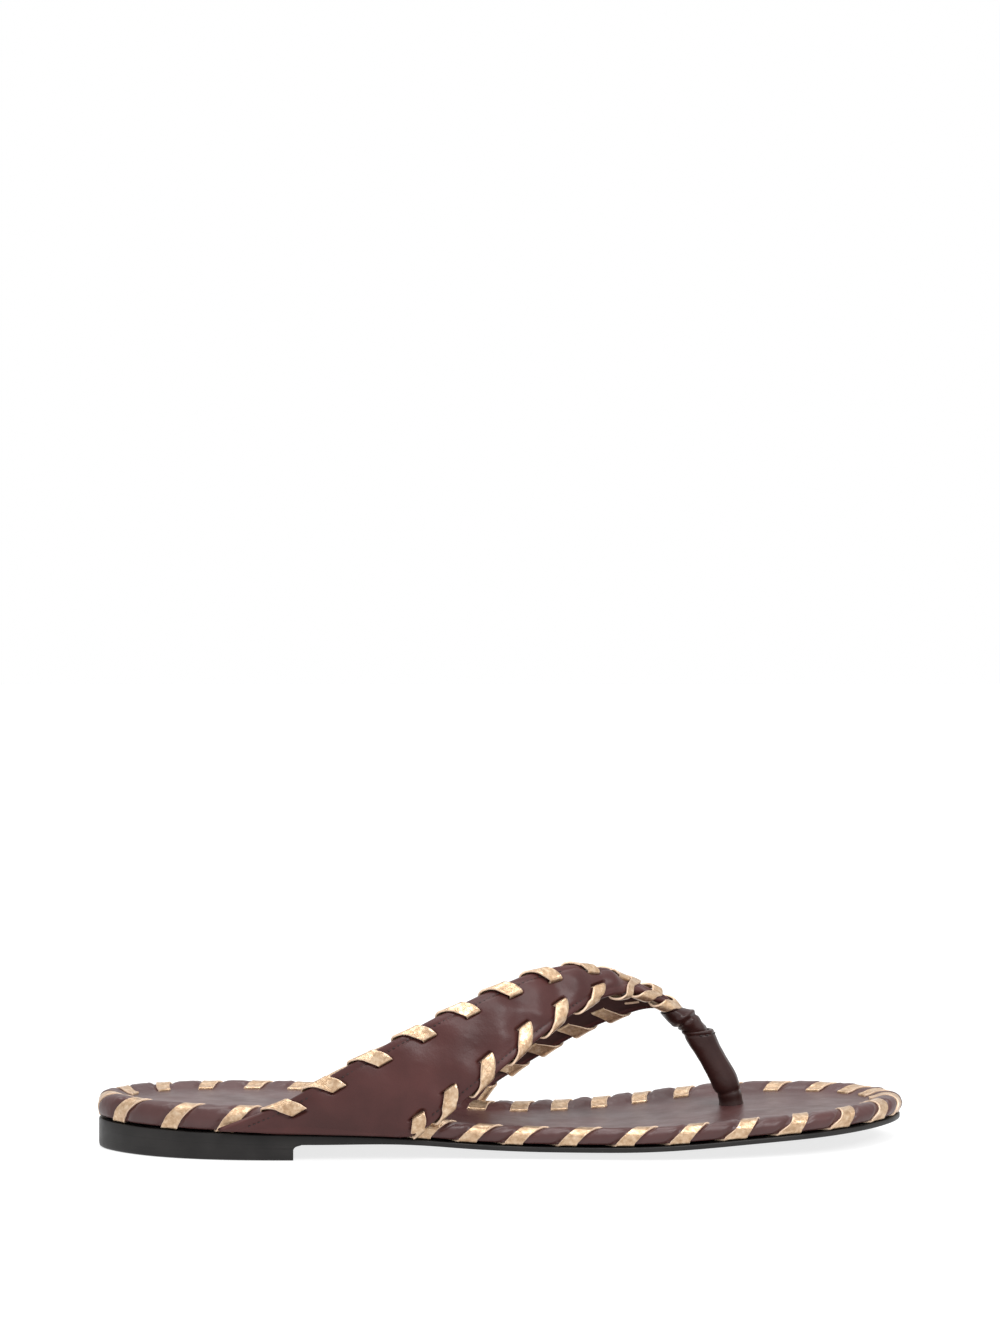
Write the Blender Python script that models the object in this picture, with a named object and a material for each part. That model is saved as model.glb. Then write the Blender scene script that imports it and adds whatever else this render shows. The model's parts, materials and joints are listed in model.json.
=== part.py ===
"""Women's flat leather thong sandal, right foot, with a laced rim and laced straps.

Lengths are millimetres until to_object() turns them into metres. The last's own axes are used
throughout: the back of the heel is at X = 0, the toe points to +X, the inner side of the foot
(medial, big toe) is at +Y, the outer side (lateral) at -Y, and the ground is Z = 0. The empty
"sandal" then moves everything so that the origin is under the middle of the sole.
"""

import math

import bpy
import bmesh
import numpy as np
from mathutils import Vector

MM = 0.001

# ---------------------------------------------------------------- driving dimensions

# Outer edge of the rim in plan: heel, lateral side, toe, medial side.
SOLE_OUTLINE = [
    (-1, 0.5), (7, -14.5), (25, -26.5), (55, -33), (90, -34), (125, -35.8), (155, -39.8),
    (180, -41.9), (208, -39), (232, -30), (249, -14.5), (256, 3), (250, 19), (233, 33.5),
    (205, 40.8), (180, 38.8), (150, 31), (115, 25), (80, 27), (45, 29.6), (20, 25.5), (3.5, 13),
]
TOE_TIP = 11                     # index of the foremost point

# Top of the outsole along the centre line (X, Z), and how it is dished across (X, Z per Y squared).
CENTRE_LINE = [
    (0, 9.1), (25, 8.6), (60, 8.05), (77, 7.4), (94, 6.1), (110, 4.2), (128, 2.5), (150, 1.7),
    (168, 2.0), (186, 3.4), (201, 4.8), (224, 6.3), (240, 7.3), (256, 8.0),
]
DISH = [(0, 0), (76, 0), (94, 0.0004), (128, 0.0014), (150, 0.0016), (168, 0.0014), (201, 0.0009),
        (230, 0.0007), (256, 0.0005)]

RIM_EDGE = 0.75                  # from the outline, which the lace touches, in to the rim's leather
OUTSOLE_EDGE_INSET = 0.95
OUTSOLE_THICK_HEEL, OUTSOLE_THICK_TOE = 3.0, 1.65
RIM_HEIGHT_HEEL, RIM_HEIGHT_TOE = 7.9, 5.8
RIM_THINS_FROM, RIM_THINS_TO = 55, 125
RIM_CREST = 4.2                  # inset of the highest line of the rim
RIM_DROP = 1.7                   # from that line down to the footbed
SEAM = 1.3                       # space between outsole and insole for laces and margins
GAP = 0.25                       # between pieces that touch
COVER_THICK = 0.8
BOARD_THICK, BOARD_INSET = 1.0, 11.2
FELT_INSET = 12.5

HEEL_BREAST = 61.0
HEEL_LIFT_THICK = 2.6
HEEL_TAPER = 0.9
NAIL_PLACES = [(19, -8), (19, 8), (46, -12), (46, 12)]
NAIL_RADIUS, NAIL_HEAD_RADIUS, NAIL_LENGTH = 0.8, 2.0, 6.2

LACE_THICK, LACE_WIDTH = 0.7, 4.8
SLIT_WIDTH = 1.6

# Where each turn of the rim lace crosses the crest, as a length round the outline from the back of
# the heel. The lace is worked by hand, so the turns are not quite even.
HEEL_TURNS = [-80.5, -65.7, -49, -31.5, -13.5, 4, 22, 42.5, 61]
TOE_TURNS = [121, 135, 149, 165.5, 183, 199.5, 216.5, 234, 252.5, 271, 286.5, 298.5, 310.5, 325,
             342, 359, 376, 391.5, 406, 419.5, 432.5, 445.5]

# Slits of the strap laces, as lengths along each edge from the sole.
LATERAL_REAR_SLITS = [18, 33.3, 49, 65, 81, 97, 113, 129.5, 146.5]
LATERAL_FRONT_SLITS = [11, 24, 38.3, 52.8, 67.2, 81.5, 91.5, 99.5, 106]
MEDIAL_REAR_SLITS = [20, 35, 50.5, 66, 81.5, 97, 112.5]
MEDIAL_FRONT_SLITS = [14, 26.5, 39, 51, 61.5, 69]
REAR_SLANT, FRONT_SLANT = 7.2, 3.8       # how far a lace moves towards the sole from slit to edge

# Strap edges, from the sole up to the thong: rear edge and front edge of each strap.
LATERAL_REAR = [
    (40, -33.6, 9.6), (50, -35.6, 14), (60, -36, 19.2), (72, -35.9, 26.4), (86, -35, 34.1),
    (101, -32.4, 41.9), (116, -28.3, 48.8), (131, -21.6, 54.6), (146, -13, 57.3), (158, -4.4, 55.3),
    (167, 2.2, 51.2), (175, 6, 47.9), (180.8, 7.7, 44.8), (185.6, 8.2, 39.5),
]
LATERAL_FRONT = [
    (97, -35.8, 7.4), (101, -36.8, 9.9), (106, -37.4, 13.8), (111, -37.4, 17.3), (118, -36.6, 22.5),
    (128, -33.4, 30.4), (137, -28.6, 36.5), (148, -21, 42.8), (158.5, -12.5, 46.6), (166, -7, 47),
    (173, -2.5, 45.2), (180, 2.5, 42.2), (185, 5.6, 39.5),
]
MEDIAL_REAR = [
    (64, 30.4, 9.4), (69, 31.4, 13.6), (74, 31.6, 18.2), (80, 31.4, 22.6), (89, 30.9, 28.6),
    (101, 30, 35.4), (114, 28.2, 41.6), (127, 25.4, 47), (139, 21.8, 50.8), (150, 17.6, 52.8),
    (160, 14, 52.2), (168, 11.6, 49.6), (175, 10.6, 47.4), (180.8, 10.3, 44.6), (185.6, 10.2, 39.4),
]
MEDIAL_FRONT = [
    (120.5, 27.6, 6.4), (123.5, 28.6, 10.3), (127, 29.6, 13.8), (132, 30.3, 17), (139, 29.8, 21.6),
    (147, 27.4, 26.6), (155, 24.3, 31.4), (163, 20.8, 35.4), (171, 17.6, 38.8), (179, 15, 40.8),
    (185, 13, 39.1),
]
LATERAL_MARGIN, MEDIAL_MARGIN = (54, 94), (85, 117)      # X of the lasted margins' ends
STRAP_CROWN = 1.2
STRAP_OFF_RIM = 1.65             # from the rim out to the strap's outer face
LEATHER, MARGIN = 0.9, 0.7       # strap leather, and the same skived where it is lasted under
TAPE_DEPTH = (1.05, 1.35)
LINING_DEPTH = (1.5, 2.0)
SLIT_INSET = 6.6

# Toe post: centre line (X, Y, Z) with its outer radius, from the footbed up to the stitched mouth.
POST = [
    (201.8, 11.8, 6.5, 3.75), (201.7, 11.8, 9, 3.75), (200.9, 11.8, 13, 3.85), (199, 11.7, 18.2, 4),
    (194.6, 11.4, 25, 4.3), (190.2, 11, 31.6, 4.8),
]
POST_WALL = 0.9
POST_HOLE = 4.2

ROWS = 4                         # points across the sole between its two edges
RING = 56                        # points round the sole

COLOURS = {
    "black_rubber": ((0.018, 0.018, 0.019), 0.45, 0.0),
    "black_leather": ((0.020, 0.019, 0.019), 0.40, 0.0),
    "brown_leather": ((0.075, 0.028, 0.024), 0.48, 0.0),
    "brown_lining": ((0.055, 0.022, 0.020), 0.62, 0.0),
    "gold_lace": ((0.62, 0.43, 0.22), 0.36, 0.85),
    "fibre_board": ((0.36, 0.29, 0.20), 0.80, 0.0),
    "foam": ((0.70, 0.66, 0.56), 0.90, 0.0),
    "felt": ((0.30, 0.29, 0.28), 0.95, 0.0),
    "cotton": ((0.72, 0.69, 0.62), 0.90, 0.0),
    "steel": ((0.55, 0.56, 0.58), 0.35, 1.0),
}


# ---------------------------------------------------------------- curves

class Spline:
    """Cubic spline through points, over given knots or over chord length, open or closed."""

    def __init__(self, points, knots=None, closed=False):
        points = np.array(points, float)
        if closed:
            points = np.vstack([points, points[:1]])
        if knots is None:
            knots = np.concatenate([[0], np.cumsum(np.linalg.norm(np.diff(points, axis=0), axis=1))])
        self.knots = np.array(knots, float)
        self.points = points
        self.bend = self._second_derivatives(closed)

    def _second_derivatives(self, closed):
        count = len(self.knots)
        step = np.diff(self.knots)
        slope = np.diff(self.points, axis=0) / step[:, None]
        matrix = np.zeros((count, count))
        right = np.zeros_like(self.points)
        for i in range(1, count - 1):
            matrix[i, i - 1] = step[i - 1]
            matrix[i, i] = 2 * (step[i - 1] + step[i])
            matrix[i, i + 1] = step[i]
            right[i] = 6 * (slope[i] - slope[i - 1])
        matrix[0, 0] = 1
        matrix[-1, -1] = 1
        if closed:
            matrix[0, -1] = -1
            matrix[-1] = 0
            matrix[-1, 0] = 2 * (step[-1] + step[0])
            matrix[-1, 1] = step[0]
            matrix[-1, -2] = step[-1]
            right[-1] = 6 * (slope[0] - slope[-1])
        return np.linalg.solve(matrix, right)

    def __call__(self, t):
        t = np.atleast_1d(np.clip(t, self.knots[0], self.knots[-1]))
        i = np.clip(np.searchsorted(self.knots, t, side="right") - 1, 0, len(self.knots) - 2)
        step = (self.knots[i + 1] - self.knots[i])[:, None]
        a = (self.knots[i + 1] - t)[:, None] / step
        b = 1 - a
        straight = a * self.points[i] + b * self.points[i + 1]
        curve = (a ** 3 - a) * self.bend[i] + (b ** 3 - b) * self.bend[i + 1]
        return straight + curve * step ** 2 / 6


class Path:
    """A spline read by length along it."""

    def __init__(self, points, closed=False, samples=1500):
        self.spline = Spline(points, closed=closed)
        self.closed = closed
        self.knots = np.linspace(self.spline.knots[0], self.spline.knots[-1], samples)
        dense = self.spline(self.knots)
        self.lengths = np.concatenate([[0], np.cumsum(np.linalg.norm(np.diff(dense, axis=0), axis=1))])
        self.length = self.lengths[-1]

    def at(self, s):
        s = np.atleast_1d(np.asarray(s, float))
        s = s % self.length if self.closed else s
        return self.spline(np.interp(s, self.lengths, self.knots))

    def tangent(self, s, reach=0.5):
        s = np.atleast_1d(np.asarray(s, float))
        if not self.closed:
            s = np.clip(s, reach, self.length - reach)
        return unit(self.at(s + reach) - self.at(s - reach))

    def length_at(self, knot):
        return float(np.interp(knot, self.knots, self.lengths))


def unit(vectors):
    return vectors / np.linalg.norm(vectors, axis=-1, keepdims=True)


def smooth(x, low, high):
    t = np.clip((np.asarray(x, float) - low) / (high - low), 0, 1)
    return t * t * (3 - 2 * t)


# ---------------------------------------------------------------- the sole as a reference surface

OUTLINE = Path(SOLE_OUTLINE, closed=True)
TOE_LENGTH = OUTLINE.length_at(OUTLINE.spline.knots[TOE_TIP])
centre_height = Spline([[z] for _, z in CENTRE_LINE], knots=[x for x, _ in CENTRE_LINE])
dish = Spline([[k] for _, k in DISH], knots=[x for x, _ in DISH])


def deck(xy):
    """Height of the outsole's upper face at points in plan."""
    return centre_height(xy[:, 0])[:, 0] + dish(xy[:, 0])[:, 0] * xy[:, 1] ** 2


def inward(s):
    tangent = OUTLINE.tangent(s)
    return np.stack([-tangent[:, 1], tangent[:, 0]], 1)


def rim_height(x):
    return RIM_HEIGHT_HEEL + (RIM_HEIGHT_TOE - RIM_HEIGHT_HEEL) * smooth(x, RIM_THINS_FROM, RIM_THINS_TO)


def outsole_thickness(x):
    thin = smooth(x, HEEL_BREAST + 1, HEEL_BREAST + 46)
    return OUTSOLE_THICK_HEEL + (OUTSOLE_THICK_TOE - OUTSOLE_THICK_HEEL) * thin


def edge_point(s, inset, height):
    """Point at a distance s round the outline, set in from it, at a height over the outsole."""
    s = np.atleast_1d(s)
    xy = OUTLINE.at(s) + inward(s) * np.reshape(inset, (-1, 1))
    return np.column_stack([xy, deck(xy) + height])


def ring_places(count):
    """Lengths round the outline, closer together at the heel and the toe."""
    half = count // 2
    k = np.arange(half) / half
    k = k - 0.4 * np.sin(2 * np.pi * k) / (2 * np.pi)
    return np.concatenate([k * TOE_LENGTH, TOE_LENGTH + k * (OUTLINE.length - TOE_LENGTH)])


PLACES = ring_places(RING)


def outline_ring(inset):
    return OUTLINE.at(PLACES) + inward(PLACES) * inset


def strip_rows(ring, rows=ROWS):
    """Points between the two sides of a ring, station by station from heel to toe."""
    half = len(ring) // 2
    share = np.arange(1, rows + 1) / (rows + 1)
    stations = []
    for k in range(1, half):
        lateral, medial = ring[k], ring[-k]
        stations.append(lateral + (medial - lateral) * share[:, None])
    return np.array(stations)


# ---------------------------------------------------------------- meshes

SANDAL = None
MATERIALS = {}


def material(name):
    if name not in MATERIALS:
        colour, roughness, metallic = COLOURS[name]
        made = bpy.data.materials.new(name)
        made.use_nodes = True
        shader = made.node_tree.nodes["Principled BSDF"]
        shader.inputs["Base Color"].default_value = (*colour, 1)
        shader.inputs["Roughness"].default_value = roughness
        shader.inputs["Metallic"].default_value = metallic
        MATERIALS[name] = made
    return MATERIALS[name]


def to_object(name, points, faces, surface, guide=False, sharp_angle=40):
    """Makes a closed mesh object from points in millimetres, with its faces turned outwards."""
    mesh = bpy.data.meshes.new(name)
    mesh.from_pydata([Vector(p) * MM for p in np.asarray(points, float).tolist()], [], faces)
    shape = bmesh.new()
    shape.from_mesh(mesh)
    bmesh.ops.remove_doubles(shape, verts=shape.verts, dist=1e-7)
    bmesh.ops.recalc_face_normals(shape, faces=shape.faces)
    if shape.calc_volume(signed=True) < 0:
        bmesh.ops.reverse_faces(shape, faces=shape.faces)
    shape.to_mesh(mesh)
    shape.free()
    mesh.materials.append(material(surface))
    mesh.shade_smooth()
    mesh.set_sharp_from_angle(angle=math.radians(sharp_angle))
    piece = bpy.data.objects.new(name, mesh)
    bpy.context.scene.collection.objects.link(piece)
    piece.parent = SANDAL
    if guide:
        piece.hide_render = True
        piece.display_type = "WIRE"
    return piece


def cut(piece, *cutters):
    for number, cutter in enumerate(cutters):
        modifier = piece.modifiers.new(f"cut_{number}", "BOOLEAN")
        modifier.operation = "DIFFERENCE"
        modifier.object = cutter
        modifier.solver = "EXACT"


def grid_faces(rows, columns, wrap=False, first=0):
    faces = []
    for i in range(rows - 1):
        for j in range(columns if wrap else columns - 1):
            k = (j + 1) % columns
            faces.append((first + i * columns + j, first + i * columns + k,
                          first + (i + 1) * columns + k, first + (i + 1) * columns + j))
    return faces


def loft(rings, close_start=True, close_end=True, wrap=False):
    """Points and faces of a tube through rings of equal count, capped, or joined end to end."""
    rings = np.asarray(rings, float)
    count, sides = rings.shape[:2]
    faces = grid_faces(count, sides, wrap=True)
    if wrap:
        last = (count - 1) * sides
        faces += [(last + j, last + (j + 1) % sides, (j + 1) % sides, j) for j in range(sides)]
    else:
        if close_start:
            faces.append(tuple(range(sides)))
        if close_end:
            faces.append(tuple(range((count - 1) * sides, count * sides)))
    return rings.reshape(-1, 3), faces


def boxes(centres, axes, halves):
    """Points and faces of separate boxes, each with its own three axes."""
    corners = np.array([(x, y, z) for x in (-1, 1) for y in (-1, 1) for z in (-1, 1)], float)
    sides = [(0, 1, 3, 2), (4, 6, 7, 5), (0, 4, 5, 1), (2, 3, 7, 6), (0, 2, 6, 4), (1, 5, 7, 3)]
    points, faces = [], []
    for centre, frame, half in zip(centres, axes, halves):
        first = len(points)
        points += list(centre + (corners * half) @ frame)
        faces += [tuple(first + i for i in side) for side in sides]
    return np.array(points), faces


def plate(name, inset, low, high, surface):
    """Sheet over the sole between two height functions of plan points, with its edge set in."""
    ring = outline_ring(inset)
    inner = strip_rows(ring).reshape(-1, 2)
    plan = np.vstack([ring, inner])
    top = np.column_stack([plan, high(plan)])
    bottom = np.column_stack([plan, low(plan)])
    faces = sheet_faces(0) + sheet_faces(len(plan))
    for k in range(RING):
        after = (k + 1) % RING
        faces.append((k, after, len(plan) + after, len(plan) + k))
    return to_object(name, np.vstack([top, bottom]), faces, surface, sharp_angle=60)


def sheet_faces(first):
    """Faces of a whole sole surface stored as its ring and then its inner rows."""
    half = RING // 2

    def at(station, column):
        if column == 0:
            return first + station
        if column == ROWS + 1:
            return first + RING - station
        return first + RING + (station - 1) * ROWS + column - 1

    faces = []
    for column in range(ROWS + 1):
        faces.append((first, at(1, column), at(1, column + 1)))
        faces.append((first + half, at(half - 1, column), at(half - 1, column + 1)))
        for station in range(1, half - 1):
            faces.append((at(station, column), at(station, column + 1),
                          at(station + 1, column + 1), at(station + 1, column)))
    return faces


# ---------------------------------------------------------------- sole layers

def make_outsole():
    return plate("outsole", OUTSOLE_EDGE_INSET,
                 lambda xy: deck(xy) - outsole_thickness(xy[:, 0]), deck, "black_leather")


def footbed_level(x):
    return rim_height(x) - RIM_DROP


def make_bottom_filler():
    return plate("bottom_filler", FELT_INSET, lambda xy: deck(xy) + GAP,
                 lambda xy: deck(xy) + SEAM - GAP, "felt")


def make_insole_board():
    return plate("insole_board", BOARD_INSET, lambda xy: deck(xy) + SEAM,
                 lambda xy: deck(xy) + SEAM + BOARD_THICK, "fibre_board")


def make_footbed_foam():
    return plate("footbed_foam", BOARD_INSET, lambda xy: deck(xy) + SEAM + BOARD_THICK + 0.2,
                 lambda xy: deck(xy) + footbed_level(xy[:, 0]) - COVER_THICK - 0.2, "foam")


def rim_section(x):
    """Outer outline of the rim in section at a station: (inset, height), from the tuck to the footbed."""
    crest = float(rim_height(x))
    roll = crest - SEAM
    bed = crest - RIM_DROP
    section = np.array([
        (7.4, SEAM), (2.3, SEAM), (0.75, SEAM + 0.13 * roll), (0, SEAM + 0.42 * roll),
        (0.55, SEAM + 0.73 * roll), (2.0, SEAM + 0.93 * roll), (RIM_CREST, crest),
        (6.7, SEAM + 0.9 * roll), (8.9, bed + 0.3), (11.2, bed),
    ])
    return section + (RIM_EDGE, 0)


def offset_section(section, distance):
    """The same outline moved towards the inside of the rim."""
    along = np.gradient(section, axis=0)
    along /= np.linalg.norm(along, axis=1, keepdims=True)
    return section + np.column_stack([along[:, 1], -along[:, 0]]) * distance


def section_rings(distance, first, last):
    """Rings round the sole for points first..last of the rim section, offset inwards."""
    stations = OUTLINE.at(PLACES)[:, 0]
    sections = [offset_section(rim_section(x), distance) for x in stations]
    rings = []
    for k in range(first, last):
        insets = np.array([section[k, 0] for section in sections])
        heights = np.array([section[k, 1] for section in sections])
        rings.append(edge_point(PLACES, insets, heights))
    return rings


def make_footbed_cover(slits, post_hole):
    count = len(rim_section(0))
    outer = section_rings(0, 0, count)
    inner = section_rings(COVER_THICK, 0, count)
    outer_bed = strip_rows(outer[-1][:, :2]).reshape(-1, 2)
    bed_height = deck(outer_bed) + footbed_level(outer_bed[:, 0])
    outer_bed = np.column_stack([outer_bed, bed_height])
    inner_bed = outer_bed - (0, 0, COVER_THICK)
    points = np.vstack([outer[-1], outer_bed, inner[-1], inner_bed] + outer[:-1] + inner[:-1])
    bed_count = RING + len(outer_bed)
    faces = sheet_faces(0) + sheet_faces(bed_count)

    def ring_start(skin, k):
        if k == count - 1:
            return skin * bed_count
        return 2 * bed_count + (skin * (count - 1) + k) * RING

    def join(start, end):
        return [(start + j, start + (j + 1) % RING, end + (j + 1) % RING, end + j) for j in range(RING)]

    for skin in (0, 1):
        for k in range(count - 1):
            faces += join(ring_start(skin, k), ring_start(skin, k + 1))
    faces += join(ring_start(0, 0), ring_start(1, 0))
    cover = to_object("footbed_cover", points, faces, "brown_leather", sharp_angle=75)
    cut(cover, slits, post_hole)
    return cover


def make_rim_filler():
    count = len(rim_section(0))
    rings = section_rings(COVER_THICK + 0.3, 1, count - 2)
    section = np.array(rings).transpose(1, 0, 2)
    points, faces = loft(section, wrap=True)
    return to_object("rim_filler", points, faces, "foam", sharp_angle=75)


def make_shank():
    """Stiffener in a slot of the bottom filler, along the waist."""
    xs = np.linspace(50, 122, 9)
    rings = []
    for x in xs:
        half = 6 - 2.5 * abs(x - 86) / 36
        plan = np.array([(x, -half - 2), (x, half - 2)])
        low = deck(plan) + GAP
        high = deck(plan) + SEAM - GAP
        rings.append([(*plan[0], low[0]), (*plan[1], low[1]), (*plan[1], high[1]), (*plan[0], high[0])])
    points, faces = loft(rings)
    return to_object("shank", points, faces, "steel")


def shank_slot():
    centres = [(86, -2, 6.8)]
    frame = [np.eye(3)]
    points, faces = boxes(np.array(centres), frame, [np.array([37.5, 7.6, 6])])
    return to_object("shank_slot", points, faces, "steel", guide=True)


def cylinder(name, centre, direction, radius, length, surface, guide=False, sides=16):
    direction = unit(np.array(direction, float))
    side = unit(np.cross(direction, (0, 1, 0)))
    other = np.cross(direction, side)
    turn = np.arange(sides) * 2 * np.pi / sides
    ring = np.outer(np.cos(turn), side) + np.outer(np.sin(turn), other)
    rings = [np.array(centre) + ring * radius + direction * length * t for t in (-0.5, 0.5)]
    points, faces = loft(rings)
    return to_object(name, points, faces, surface, guide=guide)


# ---------------------------------------------------------------- heel

def heel_ring(inset, breast, count=20):
    """Outline of the heel in plan: round the back, then straight across the breast."""
    keep = [s for s in np.linspace(-90, 90, 200) if edge_xy(s, inset)[0] < breast - 0.2]
    places = np.linspace(min(keep), max(keep), count)
    arc = np.array([edge_xy(s, inset) for s in places])
    lateral = arc[-1]
    medial = arc[0]
    across = np.linspace(lateral[1], medial[1], 5)
    straight = np.column_stack([np.full(5, breast), across])
    return np.vstack([arc, straight])


def edge_xy(s, inset):
    return (OUTLINE.at(s) + inward(s) * inset)[0]


def heel_piece(name, levels, surface):
    """Stack of rings: each level is (inset, breast, height as a number or as a gap under the outsole)."""
    rings = []
    for inset, breast, height, under in levels:
        plan = heel_ring(inset, breast)
        if under:
            z = deck(plan) - outsole_thickness(plan[:, 0]) - height
        else:
            z = np.full(len(plan), height)
        rings.append(np.column_stack([plan, z]))
    points, faces = loft(rings)
    return to_object(name, points, faces, surface)


def make_heel():
    lift = heel_piece("heel_top_lift", [
        (HEEL_TAPER + 1.2, HEEL_BREAST, 0.0, False), (HEEL_TAPER + 0.6, HEEL_BREAST, 0.6, False),
        (HEEL_TAPER, HEEL_BREAST, HEEL_LIFT_THICK, False),
    ], "black_rubber")
    block = heel_piece("heel_block", [
        (HEEL_TAPER, HEEL_BREAST, HEEL_LIFT_THICK + 0.3, False),
        (0.7, HEEL_BREAST + 0.1, 1.1, True),
        (0.65, HEEL_BREAST + 0.6, 0.6, True),
        (0.6, HEEL_BREAST + 1.7, 0.3, True),
    ], "black_leather")
    return lift, block


def make_nails():
    nails = []
    for number, (x, y) in enumerate(NAIL_PLACES, 1):
        top = float(deck(np.array([(x, y)]))[0]) + SEAM - GAP
        heights = [top, top - 0.55, top - 0.6, top - NAIL_LENGTH + 1, top - NAIL_LENGTH]
        radii = [NAIL_HEAD_RADIUS, NAIL_HEAD_RADIUS, NAIL_RADIUS, NAIL_RADIUS, 0.25]
        turn = np.arange(10) * 2 * np.pi / 10
        rings = [np.column_stack([x + r * np.cos(turn), y + r * np.sin(turn), np.full(10, z)])
                 for z, r in zip(heights, radii)]
        points, faces = loft(rings)
        nails.append(to_object(f"heel_nail_{number}", points, faces, "steel"))
    return nails


def nail_holes(name, radius, low, high):
    turn = np.arange(12) * 2 * np.pi / 12
    points, faces = [], []
    for x, y in NAIL_PLACES:
        rings = [np.column_stack([x + radius * np.cos(turn), y + radius * np.sin(turn), np.full(12, z)])
                 for z in (low, high)]
        more_points, more_faces = loft(rings)
        first = len(points)
        points += list(more_points)
        faces += [tuple(first + i for i in face) for face in more_faces]
    return to_object(name, points, faces, "steel", guide=True)


# ---------------------------------------------------------------- laces

def ribbon(name, centres, across, width=LACE_WIDTH, thickness=LACE_THICK, surface="gold_lace"):
    """Flat lace: a rectangle swept along centres, its width along the unit vectors in across."""
    centres = np.asarray(centres, float)
    along = np.diff(centres, axis=0)
    before = unit(np.vstack([along[:1], along]))
    after = unit(np.vstack([along, along[-1:]]))
    rings = []
    for centre, side, first, second in zip(centres, across, before, after):
        face_one = unit(np.cross(side, first))
        face_two = unit(np.cross(side, second))
        mean = face_one + face_two
        size = np.linalg.norm(mean)
        normal = mean / size if size > 0.5 else face_one
        stretch = min(2 / max(size, 0.5), 1.5)
        edge = side * width / 2
        lift = normal * thickness / 2 * stretch
        rings.append([centre - edge - lift, centre + edge - lift,
                      centre + edge + lift, centre - edge + lift])
    points, faces = loft(rings)
    return to_object(name, points, faces, surface, sharp_angle=50)


def rim_turn(s):
    """One turn of the rim lace: points (place, inset, height) from under the rim up into its slit."""
    x = OUTLINE.at(s)[0, 0]
    crest = float(rim_height(x))
    roll = crest - SEAM
    bed = crest - RIM_DROP
    half = SEAM / 2
    return np.array([
        (s - 10.7, 8.9, half), (s - 6.1, 2.0, half), (s - 5.3, -0.3, SEAM),
        (s - 4.1, -0.72, SEAM + 0.42 * roll), (s - 2.5, 0.3, SEAM + 0.93 * roll + 0.4),
        (s, RIM_CREST + 0.4, crest + 0.82), (s + 2.5, 9.2, bed + 1.1), (s + 3.0, 9.5, bed - 0.5),
        (s + 3.1, 9.45, SEAM + 0.9),
    ]) + (0, RIM_EDGE, 0)


def rim_lace(name, places, hidden_start):
    """Laces the rim, one turn at each place round the outline."""
    route = np.vstack([rim_turn(place) for place in places])
    s, inset, height = route[hidden_start:].T
    tangent = OUTLINE.tangent(s)
    across = np.column_stack([tangent, np.zeros(len(s))])
    return ribbon(name, edge_point(s, inset, height), across)


def rim_slits(places):
    """Cutters for the slits that the rim lace goes down through."""
    centres, axes, halves = [], [], []
    for s in np.array(places) + 2.9:
        x = OUTLINE.at(s)[0, 0]
        bed = float(footbed_level(x))
        centres.append(edge_point(s, 9.35 + RIM_EDGE, bed + 0.1)[0])
        tangent = OUTLINE.tangent(s)[0]
        axes.append(np.array([(*tangent, 0), (-tangent[1], tangent[0], 0), (0, 0, 1)]))
        halves.append(np.array([LACE_WIDTH / 2 + 0.5, SLIT_WIDTH / 2 + 0.2, 1.7]))
    points, faces = boxes(centres, axes, halves)
    return to_object("rim_slits", points, faces, "gold_lace", guide=True)


# ---------------------------------------------------------------- straps

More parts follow.
